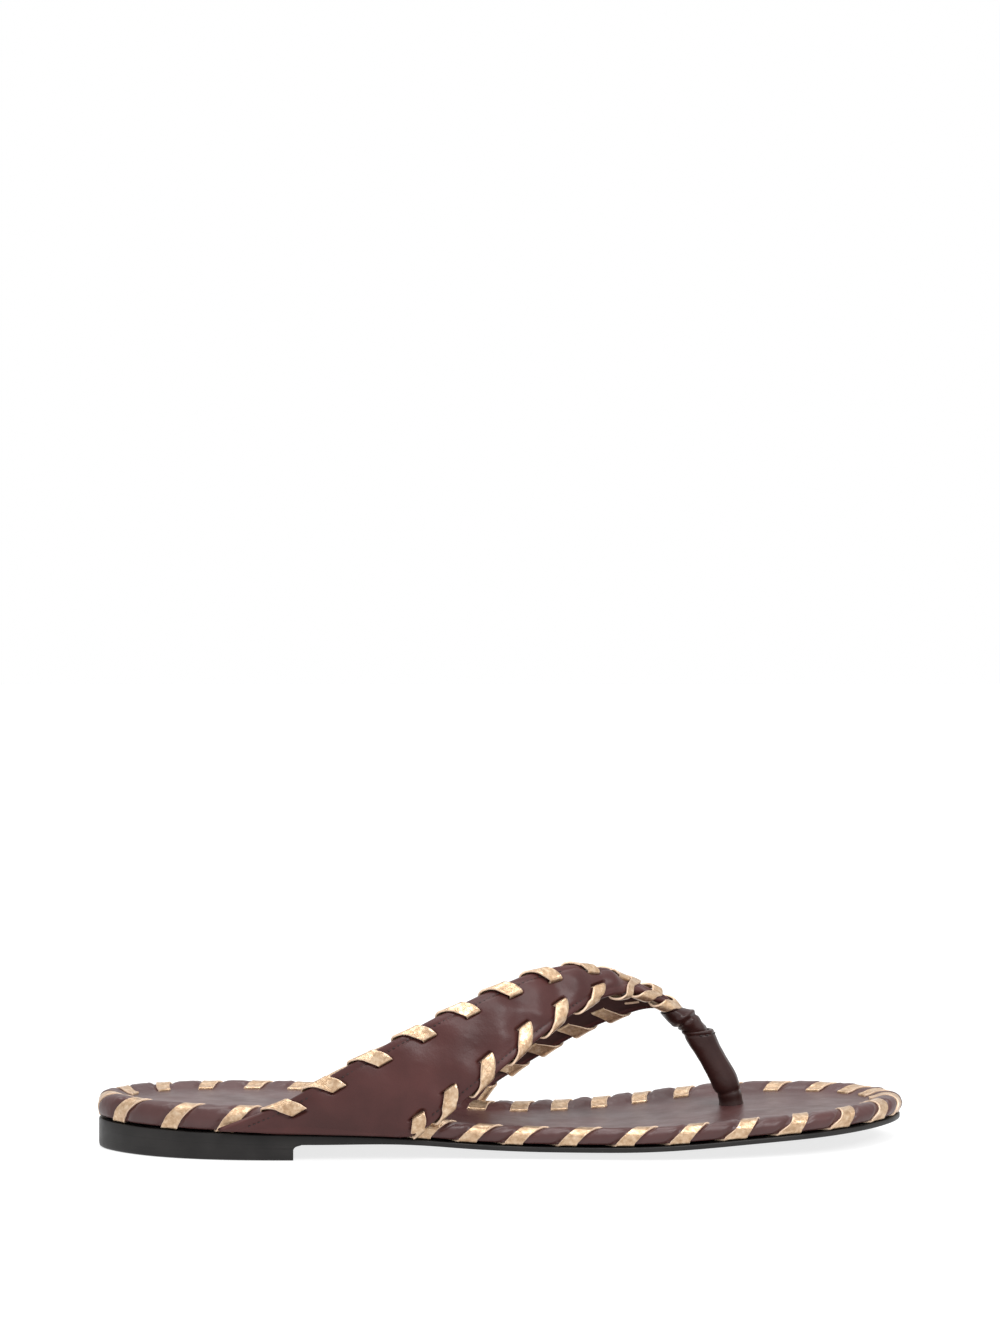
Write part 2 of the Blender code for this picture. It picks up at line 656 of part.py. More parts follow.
class Strap:
    """The outer face of one strap: u runs from the sole (0) to the thong (1), v from rear to front."""

    ACROSS = np.array([0, 0.16, 0.34, 0.5, 0.66, 0.84, 1.0])
    UP = np.linspace(0, 1, 20)
    # Lasted margin under the rim as (inset, height), outer side and inner side.
    MARGIN_OUT = [(6.8, GAP), (2.4, GAP), (-0.2, 0.35)]
    MARGIN_IN = [(6.8, GAP + MARGIN), (2.8, GAP + MARGIN), (0.4, GAP + MARGIN + 0.1)]

    def __init__(self, name, rear, front, side, margin):
        self.name = name
        self.rear = Path(rear)
        self.front = Path(front)
        self.side = side
        self.margin_ends = [self.outline_place(x) for x in margin]

    def outline_place(self, x):
        """Length round the outline where this side of the sole reaches x."""
        span = (0, TOE_LENGTH) if self.side < 0 else (OUTLINE.length, TOE_LENGTH)
        s = np.linspace(*span, 600)
        return float(np.interp(x, OUTLINE.at(s)[:, 0], s))

    def off_rim(self, points):
        """Moves points that would lie against the rim out to their place outside it."""
        s = np.array([self.outline_place(x) for x in points[:, 0]])
        edge = OUTLINE.at(s)[:, 1]
        crest = deck(points[:, :2]) + rim_height(points[:, 0])
        needed = STRAP_OFF_RIM * (1 - smooth(points[:, 2], crest, crest + 9))
        outwards = (points[:, 1] - edge) * self.side
        lift = np.where(points[:, 2] < crest + 9, np.maximum(needed - outwards, 0), 0)
        points[:, 1] += self.side * lift
        return points

    def face(self, u, v):
        u, v = np.broadcast_arrays(np.atleast_1d(u).astype(float), np.atleast_1d(v).astype(float))
        rear = self.rear.at(u * self.rear.length)
        front = self.front.at(u * self.front.length)
        points = rear + (front - rear) * v[:, None]
        run = self.rear.tangent(u * self.rear.length) + self.front.tangent(u * self.front.length)
        out = unit(np.cross(front - rear, run)) * -self.side
        out = np.where((out[:, 1] * self.side < 0)[:, None] & (out[:, 2] < 0)[:, None], -out, out)
        crown = STRAP_CROWN * smooth(u, 0.05, 0.3) * (1 - smooth(u, 0.75, 0.95))
        points = points + out * (crown * 4 * v * (1 - v))[:, None]
        return self.off_rim(points)

    def normal(self, u, v, step=0.01):
        u, v = np.broadcast_arrays(np.atleast_1d(u).astype(float), np.atleast_1d(v).astype(float))
        low_u, high_u = np.clip(u - step, 0, 1), np.clip(u + step, 0, 1)
        low_v, high_v = np.clip(v - step * 3, 0, 1), np.clip(v + step * 3, 0, 1)
        du = self.face(high_u, v) - self.face(low_u, v)
        dv = self.face(u, high_v) - self.face(u, low_v)
        return unit(np.cross(dv, du)) * -self.side

    def layer(self, depth):
        """Grid of points at a depth under the outer face, rows from the sole to the thong."""
        u, v = np.meshgrid(self.UP, self.ACROSS, indexing="ij")
        points = self.face(u.ravel(), v.ravel()) - self.normal(u.ravel(), v.ravel()) * depth
        return points.reshape(len(self.UP), len(self.ACROSS), 3)

    def margin(self, route):
        """Rows of the margin, from its hidden edge outwards."""
        start, end = self.margin_ends
        s = start + (end - start) * self.ACROSS
        return np.array([edge_point(s, inset, height) for inset, height in route])

    def edge(self, rear, s, inset, height):
        """Point near an edge: s along the edge, inset from it, height over the outer face."""
        path = self.rear if rear else self.front
        u = np.clip(np.asarray(s) / path.length, 0, 1)
        width = np.linalg.norm(self.face(u, 0) - self.face(u, 1), axis=1)
        share = np.clip(np.asarray(inset) / width, 0, 0.9)
        v = share if rear else 1 - share
        points = self.face(u, v)
        normal = self.normal(u, v)
        tangent = path.tangent(s)
        towards = self.face(u, 0) - self.face(u, 1)
        towards = unit(towards - tangent * np.sum(towards * tangent, 1)[:, None])
        beyond = np.minimum(np.asarray(inset), 0)[:, None] * towards
        points = points + (-beyond if rear else beyond)
        return points + normal * np.asarray(height)[:, None]


def slab(outer, inner):
    """Closed solid between two grids of the same shape."""
    rows, columns = outer.shape[:2]
    count = rows * columns
    faces = grid_faces(rows, columns) + grid_faces(rows, columns, first=count)
    border = [j for j in range(columns)]
    border += [i * columns + columns - 1 for i in range(1, rows)]
    border += [(rows - 1) * columns + j for j in range(columns - 2, -1, -1)]
    border += [i * columns for i in range(rows - 2, 0, -1)]
    for a, b in zip(border, border[1:] + border[:1]):
        faces.append((a, b, count + b, count + a))
    return np.vstack([outer.reshape(-1, 3), inner.reshape(-1, 3)]), faces


def make_strap(strap, slits):
    outer = np.concatenate([strap.margin(Strap.MARGIN_OUT), strap.layer(0)])
    inner = np.concatenate([strap.margin(Strap.MARGIN_IN), strap.layer(LEATHER)])
    points, faces = slab(outer, inner)
    leather = to_object(f"{strap.name}_strap", points, faces, "brown_leather", sharp_angle=60)
    cut(leather, slits)

    first, last = 3, 16
    points, faces = slab(strap.layer(LINING_DEPTH[0])[first:last], strap.layer(LINING_DEPTH[1])[first:last])
    lining = to_object(f"{strap.name}_strap_lining", points, faces, "brown_lining", sharp_angle=60)
    cut(lining, slits)

    first, last = 4, 13
    points, faces = slab(strap.layer(TAPE_DEPTH[0])[first:last, 2:5], strap.layer(TAPE_DEPTH[1])[first:last, 2:5])
    to_object(f"{strap.name}_strap_tape", points, faces, "cotton", sharp_angle=60)


LACE_BACK = -LINING_DEPTH[1] - 0.85


def strap_turn(s, inset, slant):
    """One turn of a strap lace: (place, inset, height), up through the slit and over the edge."""
    return [
        (s, inset, LACE_BACK), (s, inset, 0.62), (s - slant / 2, inset / 2, 0.68),
        (s - slant * 0.92, -0.5, 0.42), (s - slant, -0.88, -1.0), (s - slant - 0.4, -0.5, LACE_BACK + 0.2),
    ]


def strap_lace(name, strap, rear, places, insets):
    """Lace round one edge of a strap, from the thong down to its last turn, which ends on the edge."""
    slant = REAR_SLANT if rear else FRONT_SLANT
    route = [(places[0] + 2.5, insets[0] * 0.6, LACE_BACK)]
    for number, (s, inset) in enumerate(zip(places, insets)):
        route += strap_turn(s, inset, slant)
        if number + 1 < len(places):
            route.append(((s - slant + places[number + 1]) / 2, inset / 2, LACE_BACK))
    s, depth, height = np.array(route[:-1]).T
    centres = strap.edge(rear, s, depth, height)
    path = strap.rear if rear else strap.front
    return ribbon(name, centres, path.tangent(s))


def strap_slits(strap, rear_places, front_places, rear_inset, front_inset):
    centres, axes, halves = [], [], []
    for rear, places, insets in ((True, rear_places, rear_inset), (False, front_places, front_inset)):
        path = strap.rear if rear else strap.front
        for s, inset in zip(places, insets):
            one = np.array([s])
            centre = strap.edge(rear, one, np.array([inset]), np.array([-1.0]))[0]
            high = strap.edge(rear, one, np.array([inset]), np.array([1.0]))[0]
            normal = unit(high - centre)
            tangent = path.tangent(s)[0]
            tangent = unit(tangent - normal * tangent.dot(normal))
            centres.append(centre)
            axes.append(np.array([tangent, np.cross(normal, tangent), normal]))
            halves.append(np.array([LACE_WIDTH / 2 + 0.45, SLIT_WIDTH / 2 + 0.1, 2.4]))
    points, faces = boxes(centres, axes, halves)
    return to_object(f"{strap.name}_slits", points, faces, "gold_lace", guide=True)


def slit_insets(path, other, places):
    """Slits lie at a fixed inset, or nearer the edge where the strap is narrow."""
    width = [np.linalg.norm(path.at(s) - other.at(s / path.length * other.length)) for s in places]
    return [min(SLIT_INSET, 0.3 * w) for w in width]


def make_laced_strap(strap, rear_places, front_places):
    rear_places, front_places = rear_places[::-1], front_places[::-1]
    rear_inset = slit_insets(strap.rear, strap.front, rear_places)
    front_inset = slit_insets(strap.front, strap.rear, front_places)
    slits = strap_slits(strap, rear_places, front_places, rear_inset, front_inset)
    make_strap(strap, slits)
    strap_lace(f"{strap.name}_rear_lace", strap, True, rear_places, rear_inset)
    strap_lace(f"{strap.name}_front_lace", strap, False, front_places, front_inset)


# ---------------------------------------------------------------- toe post

def oval_ring(centre, direction, half_width, half_height, sides=14):
    """Ring across a direction, its width along Y."""
    direction = unit(np.array(direction, float))
    side = unit(np.cross((0, 0, 1), direction))
    upward = np.cross(direction, side)
    turn = np.arange(sides) * 2 * np.pi / sides
    return (np.array(centre, float) + np.outer(np.cos(turn), side) * half_width
            + np.outer(np.sin(turn), upward) * half_height)


def make_post():
    line = np.array(POST)
    spline = Path(line[:, :3])
    radius_along = Spline(line[:, 3:], knots=spline.spline.knots)
    s = np.linspace(0, spline.length, 9)
    knots = np.interp(s, spline.lengths, spline.knots)
    centres = spline.at(s)
    directions = spline.tangent(s)
    radii = radius_along(knots)[:, 0]
    turn = np.arange(14) * 2 * np.pi / 14

    def rings(which, radius):
        made = []
        for k in which:
            side = unit(np.cross(directions[k], (0, 1, 0)))
            other = np.cross(directions[k], side)
            shape = np.outer(np.cos(turn), side) + np.outer(np.sin(turn), other)
            made.append(centres[k] + shape * radius[k])
        return made

    order = list(range(len(s)))
    outer = rings(order, radii)
    inner = rings(order[::-1], radii - POST_WALL)
    points, faces = loft(outer + inner, wrap=True)
    to_object("toe_post_wrap", points, faces, "brown_leather")
    core = rings(order[:-2], radii - POST_WALL - 0.35)
    points, faces = loft(core)
    to_object("toe_post_core", points, faces, "cotton")


def make_collar():
    """Folded leather that takes the strap ends in its mouth and goes down into the post."""
    mouth = (0.78, 0, -0.62)
    lower = (0.5, 0.1, -0.86)
    outer = [
        oval_ring((183.5, 9.2, 40.8), mouth, 7.3, 2.9),
        oval_ring((186.1, 9.4, 38.2), (0.65, 0, -0.76), 6.5, 3.4),
        oval_ring((188.0, 10, 35.4), lower, 5.0, 3.9), oval_ring((189.4, 10.7, 33.3), lower, 3.7, 3.8),
        oval_ring((190.3, 11, 31.7), lower, 3.4, 3.4), oval_ring((192.4, 11.2, 28.6), lower, 2.9, 2.9),
    ]
    inner = [
        oval_ring((186.1, 9.4, 38.2), (0.65, 0, -0.76), 5.8, 2.7),
        oval_ring((183.5, 9.2, 40.8), mouth, 6.6, 2.25),
    ]
    points, faces = loft(outer[::-1] + inner[::-1])
    return to_object("thong_collar", points, faces, "brown_leather")


def make_anchor(x, y):
    turn = np.arange(16) * 2 * np.pi / 16
    plan = np.column_stack([x + 11 * np.cos(turn), y + 8 * np.sin(turn)])
    low = np.column_stack([plan, deck(plan) + GAP])
    high = np.column_stack([plan, deck(plan) + SEAM - GAP])
    points, faces = loft([low, high])
    return to_object("toe_post_anchor", points, faces, "cotton")


def anchor_slot(x, y):
    turn = np.arange(16) * 2 * np.pi / 16
    rings = [np.column_stack([x + 12.2 * np.cos(turn), y + 9.2 * np.sin(turn), np.full(16, z)]) for z in (0, 12)]
    points, faces = loft(rings)
    return to_object("anchor_slot", points, faces, "felt", guide=True)


# ---------------------------------------------------------------- assembly

def build():
    global SANDAL
    for item in list(bpy.data.objects):
        bpy.data.objects.remove(item)
    SANDAL = bpy.data.objects.new("sandal", None)
    bpy.context.scene.collection.objects.link(SANDAL)

    post_x, post_y = POST[0][0], POST[0][1]
    post_hole = cylinder("post_hole", (post_x, post_y, 8), (0, 0, 1), POST_HOLE, 14, "felt", guide=True)
    shaft_holes = nail_holes("nail_shaft_holes", NAIL_RADIUS + 0.35, 2.0, 14)
    head_holes = nail_holes("nail_head_holes", NAIL_HEAD_RADIUS + 0.5, 2.0, 14)

    outsole = make_outsole()
    cut(outsole, shaft_holes)
    lift, block = make_heel()
    cut(block, shaft_holes)
    make_nails()
    felt = make_bottom_filler()
    cut(felt, shank_slot(), anchor_slot(post_x, post_y), head_holes)
    make_shank()
    make_anchor(post_x, post_y)
    cut(make_insole_board(), post_hole)
    cut(make_footbed_foam(), post_hole)
    make_rim_filler()

    rim_lace("rim_lace_toe", TOE_TURNS, 0)
    rim_lace("rim_lace_heel", HEEL_TURNS, 2)
    make_footbed_cover(rim_slits(HEEL_TURNS + TOE_TURNS), post_hole)

    lateral = Strap("lateral", LATERAL_REAR, LATERAL_FRONT, -1, LATERAL_MARGIN)
    medial = Strap("medial", MEDIAL_REAR, MEDIAL_FRONT, 1, MEDIAL_MARGIN)
    make_laced_strap(lateral, LATERAL_REAR_SLITS, LATERAL_FRONT_SLITS)
    make_laced_strap(medial, MEDIAL_REAR_SLITS, MEDIAL_FRONT_SLITS)
    make_post()
    make_collar()

    outline = OUTLINE.at(np.linspace(0, OUTLINE.length, 400))
    middle = (outline.min(0) + outline.max(0)) / 2
    SANDAL.location = (-middle[0] * MM, -middle[1] * MM, 0)


build()
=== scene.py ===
"""Looks of a women's flat leather thong sandal, right foot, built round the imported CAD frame.

Sizes are millimetres in the last's own axes, as in the CAD model: the back of the heel is at X = 0,
the toe points to +X, the inner side of the foot is at +Y and the ground is Z = 0. make_piece() turns
them into metres in the frame's axes, whose origin is under the middle of the sole.
"""

import json
import math

import bpy
import numpy as np
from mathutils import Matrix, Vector


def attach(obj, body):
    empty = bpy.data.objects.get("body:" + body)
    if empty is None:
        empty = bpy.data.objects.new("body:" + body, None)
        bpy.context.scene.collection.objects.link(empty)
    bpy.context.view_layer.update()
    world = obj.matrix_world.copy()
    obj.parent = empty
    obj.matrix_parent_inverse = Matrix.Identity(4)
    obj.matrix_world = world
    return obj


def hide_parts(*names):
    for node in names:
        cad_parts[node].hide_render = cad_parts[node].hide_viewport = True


MM = 0.001
LAST_TO_FRAME = np.array([-127.5, 0.49, 0])

# ---------------------------------------------------------------- the sole, as in the CAD model

SOLE_OUTLINE = [
    (-1, 0.5), (7, -14.5), (25, -26.5), (55, -33), (90, -34), (125, -35.8), (155, -39.8),
    (180, -41.9), (208, -39), (232, -30), (249, -14.5), (256, 3), (250, 19), (233, 33.5),
    (205, 40.8), (180, 38.8), (150, 31), (115, 25), (80, 27), (45, 29.6), (20, 25.5), (3.5, 13),
]
TOE_TIP = 11
CENTRE_LINE = [
    (0, 9.1), (25, 8.6), (60, 8.05), (77, 7.4), (94, 6.1), (110, 4.2), (128, 2.5), (150, 1.7),
    (168, 2.0), (186, 3.4), (201, 4.8), (224, 6.3), (240, 7.3), (256, 8.0),
]
DISH = [(0, 0), (76, 0), (94, 0.0004), (128, 0.0014), (150, 0.0016), (168, 0.0014), (201, 0.0009),
        (230, 0.0007), (256, 0.0005)]
RIM_EDGE = 0.75
OUTSOLE_EDGE_INSET = 0.95
OUTSOLE_THICK_HEEL, OUTSOLE_THICK_TOE = 3.0, 1.65
RIM_HEIGHT_HEEL, RIM_HEIGHT_TOE = 7.9, 5.8
RIM_THINS_FROM, RIM_THINS_TO = 55, 125
RIM_CREST, RIM_DROP = 4.2, 1.7
SEAM = 1.3
RIM_FOOT = 0.8                   # only in the looks: the soft rim sags this near the outsole
COVER_THICK = 0.8
HEEL_BREAST, HEEL_LIFT_THICK = 61.0, 2.6

HEEL_TURNS = [-80.5, -65.7, -49, -31.5, -13.5, 4, 22, 42.5, 61]
TOE_TURNS = [121, 135, 149, 165.5, 183, 199.5, 216.5, 234, 252.5, 271, 286.5, 298.5, 310.5, 325,
             342, 359, 376, 391.5, 406, 419.5, 432.5, 445.5]

# ---------------------------------------------------------------- the straps and the post

LATERAL_REAR = [
    (38, -33.2, 9.4), (47, -35.2, 13.3), (60, -36, 19.4), (72, -35.9, 26.4), (86, -35, 34.1),
    (101, -32.4, 41.9), (116, -28.3, 48.8), (131, -21.6, 54.6), (146, -13, 57.3), (158, -4.4, 55.3),
    (167, 2.2, 51.2), (175, 6, 47.9), (180.8, 7.7, 44.8), (185.6, 8.2, 39.5),
]
LATERAL_FRONT = [
    (97, -35.8, 7.4), (101, -36.8, 9.9), (106, -37.4, 13.8), (111, -37.4, 17.3), (118, -36.6, 22.5),
    (128, -33.4, 30.4), (137, -28.6, 36.5), (148, -21, 42.8), (158.5, -12.5, 46.6), (166, -7, 47),
    (173, -2.5, 45.2), (180, 2.5, 42.2), (185, 5.6, 39.5),
]
MEDIAL_REAR = [
    (64, 30.4, 9.4), (69, 31.4, 13.2), (74, 31.6, 16.8), (80, 31.4, 20.3), (89, 30.9, 25.1),
    (101, 30, 31.2), (114, 28.2, 37.2), (127, 25.4, 42.9), (139, 21.8, 47.5), (150, 17.6, 50.6),
    (160, 14, 51.2), (168, 11.6, 49.3), (175, 10.6, 47.2), (180.8, 10.3, 44.5), (185.6, 10.2, 39.4),
]
MEDIAL_FRONT = [
    (120.5, 27.6, 6.4), (123.5, 28.6, 10.3), (127, 29.6, 13.8), (132, 30.3, 17), (139, 29.8, 21.6),
    (147, 27.4, 26.6), (155, 24.3, 31.4), (163, 20.8, 35.4), (171, 17.6, 38.8), (179, 15, 40.8),
    (185, 13, 39.1),
]
LATERAL_MARGIN, MEDIAL_MARGIN = (54, 94), (85, 117)
STRAP_CROWN = 1.2
THONG_NARROW = 0.30              # share by which the leather is gathered in between the thong loops
STRAP_OFF_RIM = 1.65
# Slits: place along the edge from the sole, and inset square to the edge.
LATERAL_REAR_SLITS = [(24.6, 4.9), (38.4, 4.7), (54.4, 4.75), (69.9, 4.75), (85.5, 4.6), (101, 4.9),
                      (116.5, 4.7), (132.5, 3.5), (147, 2.6)]
LATERAL_FRONT_SLITS = [(5.2, 4.7), (17.6, 5.5), (32.7, 6.1), (48.3, 6.3), (63.2, 5.6), (78.6, 4.5)]
MEDIAL_REAR_SLITS = [(19, 4.6), (34, 4.7), (49.3, 4.8), (64.6, 5), (80, 5), (95.3, 5), (110.5, 3.9)]
MEDIAL_FRONT_SLITS = [(13.2, 4.4), (26.2, 4.7), (39.4, 5), (52.4, 5), (64.6, 4.6)]

POST = [
    (202.3, 11.8, 6.5, 3.6), (202.1, 11.8, 9, 3.6), (201.4, 11.8, 13.5, 3.75), (200.4, 11.8, 16.6, 3.85),
    (198.2, 11.8, 20.9, 3.7), (196.0, 11.8, 24.9, 3.65), (193.9, 11.8, 28.4, 3.8), (192.1, 11.8, 31.4, 4.15),
    (191.2, 11.8, 33.0, 4.3),
]
POST_WALL = 0.9

# ---------------------------------------------------------------- sizes that only the looks need

STRAP_THICK = 2.3                # folded leather and lining together
SKIVED = 0.30                    # share of that thickness left in the margin under the rim
LACE_WIDTH, LACE_THICK = 5.6, 0.7
STITCH_PITCH, STITCH_LENGTH, STITCH_INSET = 1.6, 0.95, 2.3

# The photograph's view: from the outer side, a little behind and above.
VIEW_TARGET = (0.0, 0.0005, 0.020)
VIEW_DISTANCE, VIEW_TURN, VIEW_HEIGHT = 0.9, 4.06, 8.24
VIEW_LENS, VIEW_PITCH, VIEW_SIDE = 75.7, 0.09, -0.0012


# ---------------------------------------------------------------- curves

class Spline:
    """Cubic spline through points, over given knots or over chord length, open or closed."""

    def __init__(self, points, knots=None, closed=False):
        points = np.array(points, float)
        if closed:
            points = np.vstack([points, points[:1]])
        if knots is None:
            knots = np.concatenate([[0], np.cumsum(np.linalg.norm(np.diff(points, axis=0), axis=1))])
        self.knots = np.array(knots, float)
        self.points = points
        self.bend = self._second_derivatives(closed)

    def _second_derivatives(self, closed):
        count = len(self.knots)
        step = np.diff(self.knots)
        slope = np.diff(self.points, axis=0) / step[:, None]
        matrix = np.zeros((count, count))
        right = np.zeros_like(self.points)
        for i in range(1, count - 1):
            matrix[i, i - 1] = step[i - 1]
            matrix[i, i] = 2 * (step[i - 1] + step[i])
            matrix[i, i + 1] = step[i]
            right[i] = 6 * (slope[i] - slope[i - 1])
        matrix[0, 0] = 1
        matrix[-1, -1] = 1
        if closed:
            matrix[0, -1] = -1
            matrix[-1] = 0
            matrix[-1, 0] = 2 * (step[-1] + step[0])
            matrix[-1, 1] = step[0]
            matrix[-1, -2] = step[-1]
            right[-1] = 6 * (slope[0] - slope[-1])
        return np.linalg.solve(matrix, right)

    def __call__(self, t):
        t = np.atleast_1d(np.clip(t, self.knots[0], self.knots[-1]))
        i = np.clip(np.searchsorted(self.knots, t, side="right") - 1, 0, len(self.knots) - 2)
        step = (self.knots[i + 1] - self.knots[i])[:, None]
        a = (self.knots[i + 1] - t)[:, None] / step
        b = 1 - a
        straight = a * self.points[i] + b * self.points[i + 1]
        curve = (a ** 3 - a) * self.bend[i] + (b ** 3 - b) * self.bend[i + 1]
        return straight + curve * step ** 2 / 6


class Path:
    """A spline read by length along it."""

    def __init__(self, points, closed=False, samples=3000):
        self.spline = Spline(points, closed=closed)
        self.closed = closed
        self.knots = np.linspace(self.spline.knots[0], self.spline.knots[-1], samples)
        dense = self.spline(self.knots)
        self.lengths = np.concatenate([[0], np.cumsum(np.linalg.norm(np.diff(dense, axis=0), axis=1))])
        self.length = self.lengths[-1]

    def at(self, s):
        s = np.atleast_1d(np.asarray(s, float))
        s = s % self.length if self.closed else s
        return self.spline(np.interp(s, self.lengths, self.knots))

    def tangent(self, s, reach=0.5):
        s = np.atleast_1d(np.asarray(s, float))
        if not self.closed:
            s = np.clip(s, reach, self.length - reach)
        return unit(self.at(s + reach) - self.at(s - reach))


def unit(vectors):
    return vectors / np.linalg.norm(vectors, axis=-1, keepdims=True)


def smooth(x, low, high):
    t = np.clip((np.asarray(x, float) - low) / (high - low), 0, 1)
    return t * t * (3 - 2 * t)


def rounded(points, times=3):
    """Cuts the corners of an open polyline again and again, which makes a soft curve."""
    points = np.asarray(points, float)
    for _ in range(times):
        early = points[:-1] * 0.75 + points[1:] * 0.25
        late = points[:-1] * 0.25 + points[1:] * 0.75
        middle = np.stack([early, late], 1).reshape(-1, points.shape[1])
        points = np.vstack([points[:1], middle, points[-1:]])
    return points


NOISE_SIZE = 32
NOISE_TABLE = np.random.default_rng(7).uniform(-1, 1, (NOISE_SIZE, NOISE_SIZE, NOISE_SIZE))


def noise(points, size, shift=0.0):
    """Smooth random field from -1 to 1, with features about size millimetres across."""
    place = np.asarray(points, float) / size + shift
    cell = np.floor(place).astype(int)
    part = place - cell
    part = part * part * (3 - 2 * part)
    total = 0
    for corner in range(8):
        step = np.array([corner >> 2 & 1, corner >> 1 & 1, corner & 1])
        weight = np.prod(np.where(step, part, 1 - part), axis=-1)
        index = (cell + step) % NOISE_SIZE
        total = total + weight * NOISE_TABLE[index[..., 0], index[..., 1], index[..., 2]]
    return total


# ---------------------------------------------------------------- the sole as a reference surface

OUTLINE = Path(SOLE_OUTLINE, closed=True)
TOE_LENGTH = float(np.interp(OUTLINE.spline.knots[TOE_TIP], OUTLINE.knots, OUTLINE.lengths))
centre_height = Spline([[z] for _, z in CENTRE_LINE], knots=[x for x, _ in CENTRE_LINE])
dish = Spline([[k] for _, k in DISH], knots=[x for x, _ in DISH])


def deck(xy):
    """Height of the outsole's upper face at points in plan."""
    return centre_height(xy[:, 0])[:, 0] + dish(xy[:, 0])[:, 0] * xy[:, 1] ** 2


def inward(s):
    tangent = OUTLINE.tangent(s)
    return np.stack([-tangent[:, 1], tangent[:, 0]], 1)


def rim_height(x):
    return RIM_HEIGHT_HEEL + (RIM_HEIGHT_TOE - RIM_HEIGHT_HEEL) * smooth(x, RIM_THINS_FROM, RIM_THINS_TO)


def outsole_thickness(x):
    thin = smooth(x, HEEL_BREAST + 1, HEEL_BREAST + 46)
    return OUTSOLE_THICK_HEEL + (OUTSOLE_THICK_TOE - OUTSOLE_THICK_HEEL) * thin


def edge_point(s, inset, height):
    """Point at a distance s round the outline, set in from it, at a height over the outsole."""
    s = np.atleast_1d(s)
    xy = OUTLINE.at(s) + inward(s) * np.reshape(inset, (-1, 1))
    return np.column_stack([xy, deck(xy) + height])


def ring_places(count):
    half = count // 2
    k = np.arange(half) / half
    k = k - 0.3 * np.sin(2 * np.pi * k) / (2 * np.pi)
    return np.concatenate([k * TOE_LENGTH, TOE_LENGTH + k * (OUTLINE.length - TOE_LENGTH)])


# ---------------------------------------------------------------- meshes

def make_piece(name, points, faces, surface, nodes=(), sharp=180):
    """Makes a visible piece from points in millimetres and hands it to the frame."""
    mesh = bpy.data.meshes.new(name)
    scaled = (np.asarray(points, float) + LAST_TO_FRAME) * MM
    mesh.from_pydata(scaled.tolist(), [], faces)
    mesh.validate()
    mesh.update()
    mesh.shade_smooth()
    if sharp < 180:
        mesh.set_sharp_from_angle(angle=math.radians(sharp))
    mesh.materials.append(surface)
    piece = bpy.data.objects.new(name, mesh)
    bpy.context.scene.collection.objects.link(piece)
    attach(piece, "root")
    if nodes:
        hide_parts(*nodes)
    return piece


def tube_faces(rings, sides):
    faces = []
    for i in range(rings - 1):
        for j in range(sides):
            k = (j + 1) % sides
            faces.append((i * sides + j, i * sides + k, (i + 1) * sides + k, (i + 1) * sides + j))
    return faces


def tube(rings):
    """Points and faces of a capped tube through rings of equal count."""
    rings = np.asarray(rings, float)
    count, sides = rings.shape[:2]
    faces = tube_faces(count, sides)
    faces.append(tuple(range(sides))[::-1])
    faces.append(tuple(range((count - 1) * sides, count * sides)))
    return rings.reshape(-1, 3), faces


def fill_plan(ring, start, inner_start, columns):
    """Grid inside a ring round the sole, whose points are numbered from start and inner_start."""
    count = len(ring)
    half = count // 2
    share = (np.arange(1, columns + 1) / (columns + 1))[None, :, None]
    lateral, medial = ring[1:half, None, :2], ring[:half:-1, None, :2]
    xy = (lateral + (medial - lateral) * share).reshape(-1, 2)

    def at(station, column):
        if column == 0:
            return start + station
        if column == columns + 1:
            return start + count - station
        return inner_start + (station - 1) * columns + column - 1

    faces = []
    for column in range(columns + 1):
        faces.append((start, at(1, column), at(1, column + 1)))
        faces.append((start + half, at(half - 1, column + 1), at(half - 1, column)))
        for station in range(1, half - 1):
            faces.append((at(station, column), at(station + 1, column),
                          at(station + 1, column + 1), at(station, column + 1)))
    return xy, faces


def outward(points, faces):
    """Turns all faces round if the closed shape is inside out."""
    points = np.asarray(points)
    corners = np.array([(face[0], face[k], face[k + 1]) for face in faces for k in range(1, len(face) - 1)])
    a, b, c = points[corners].transpose(1, 0, 2)
    volume = np.sum(a * np.cross(b, c))
    return faces if volume > 0 else [face[::-1] for face in faces]


def merge(parts):
    """Joins several (points, faces) into one."""
    points, faces, first = [], [], 0
    for more_points, more_faces in parts:
        points.append(more_points)
        faces += [tuple(first + i for i in face) for face in more_faces]
        first += len(more_points)
    return np.vstack(points), faces


# ---------------------------------------------------------------- materials

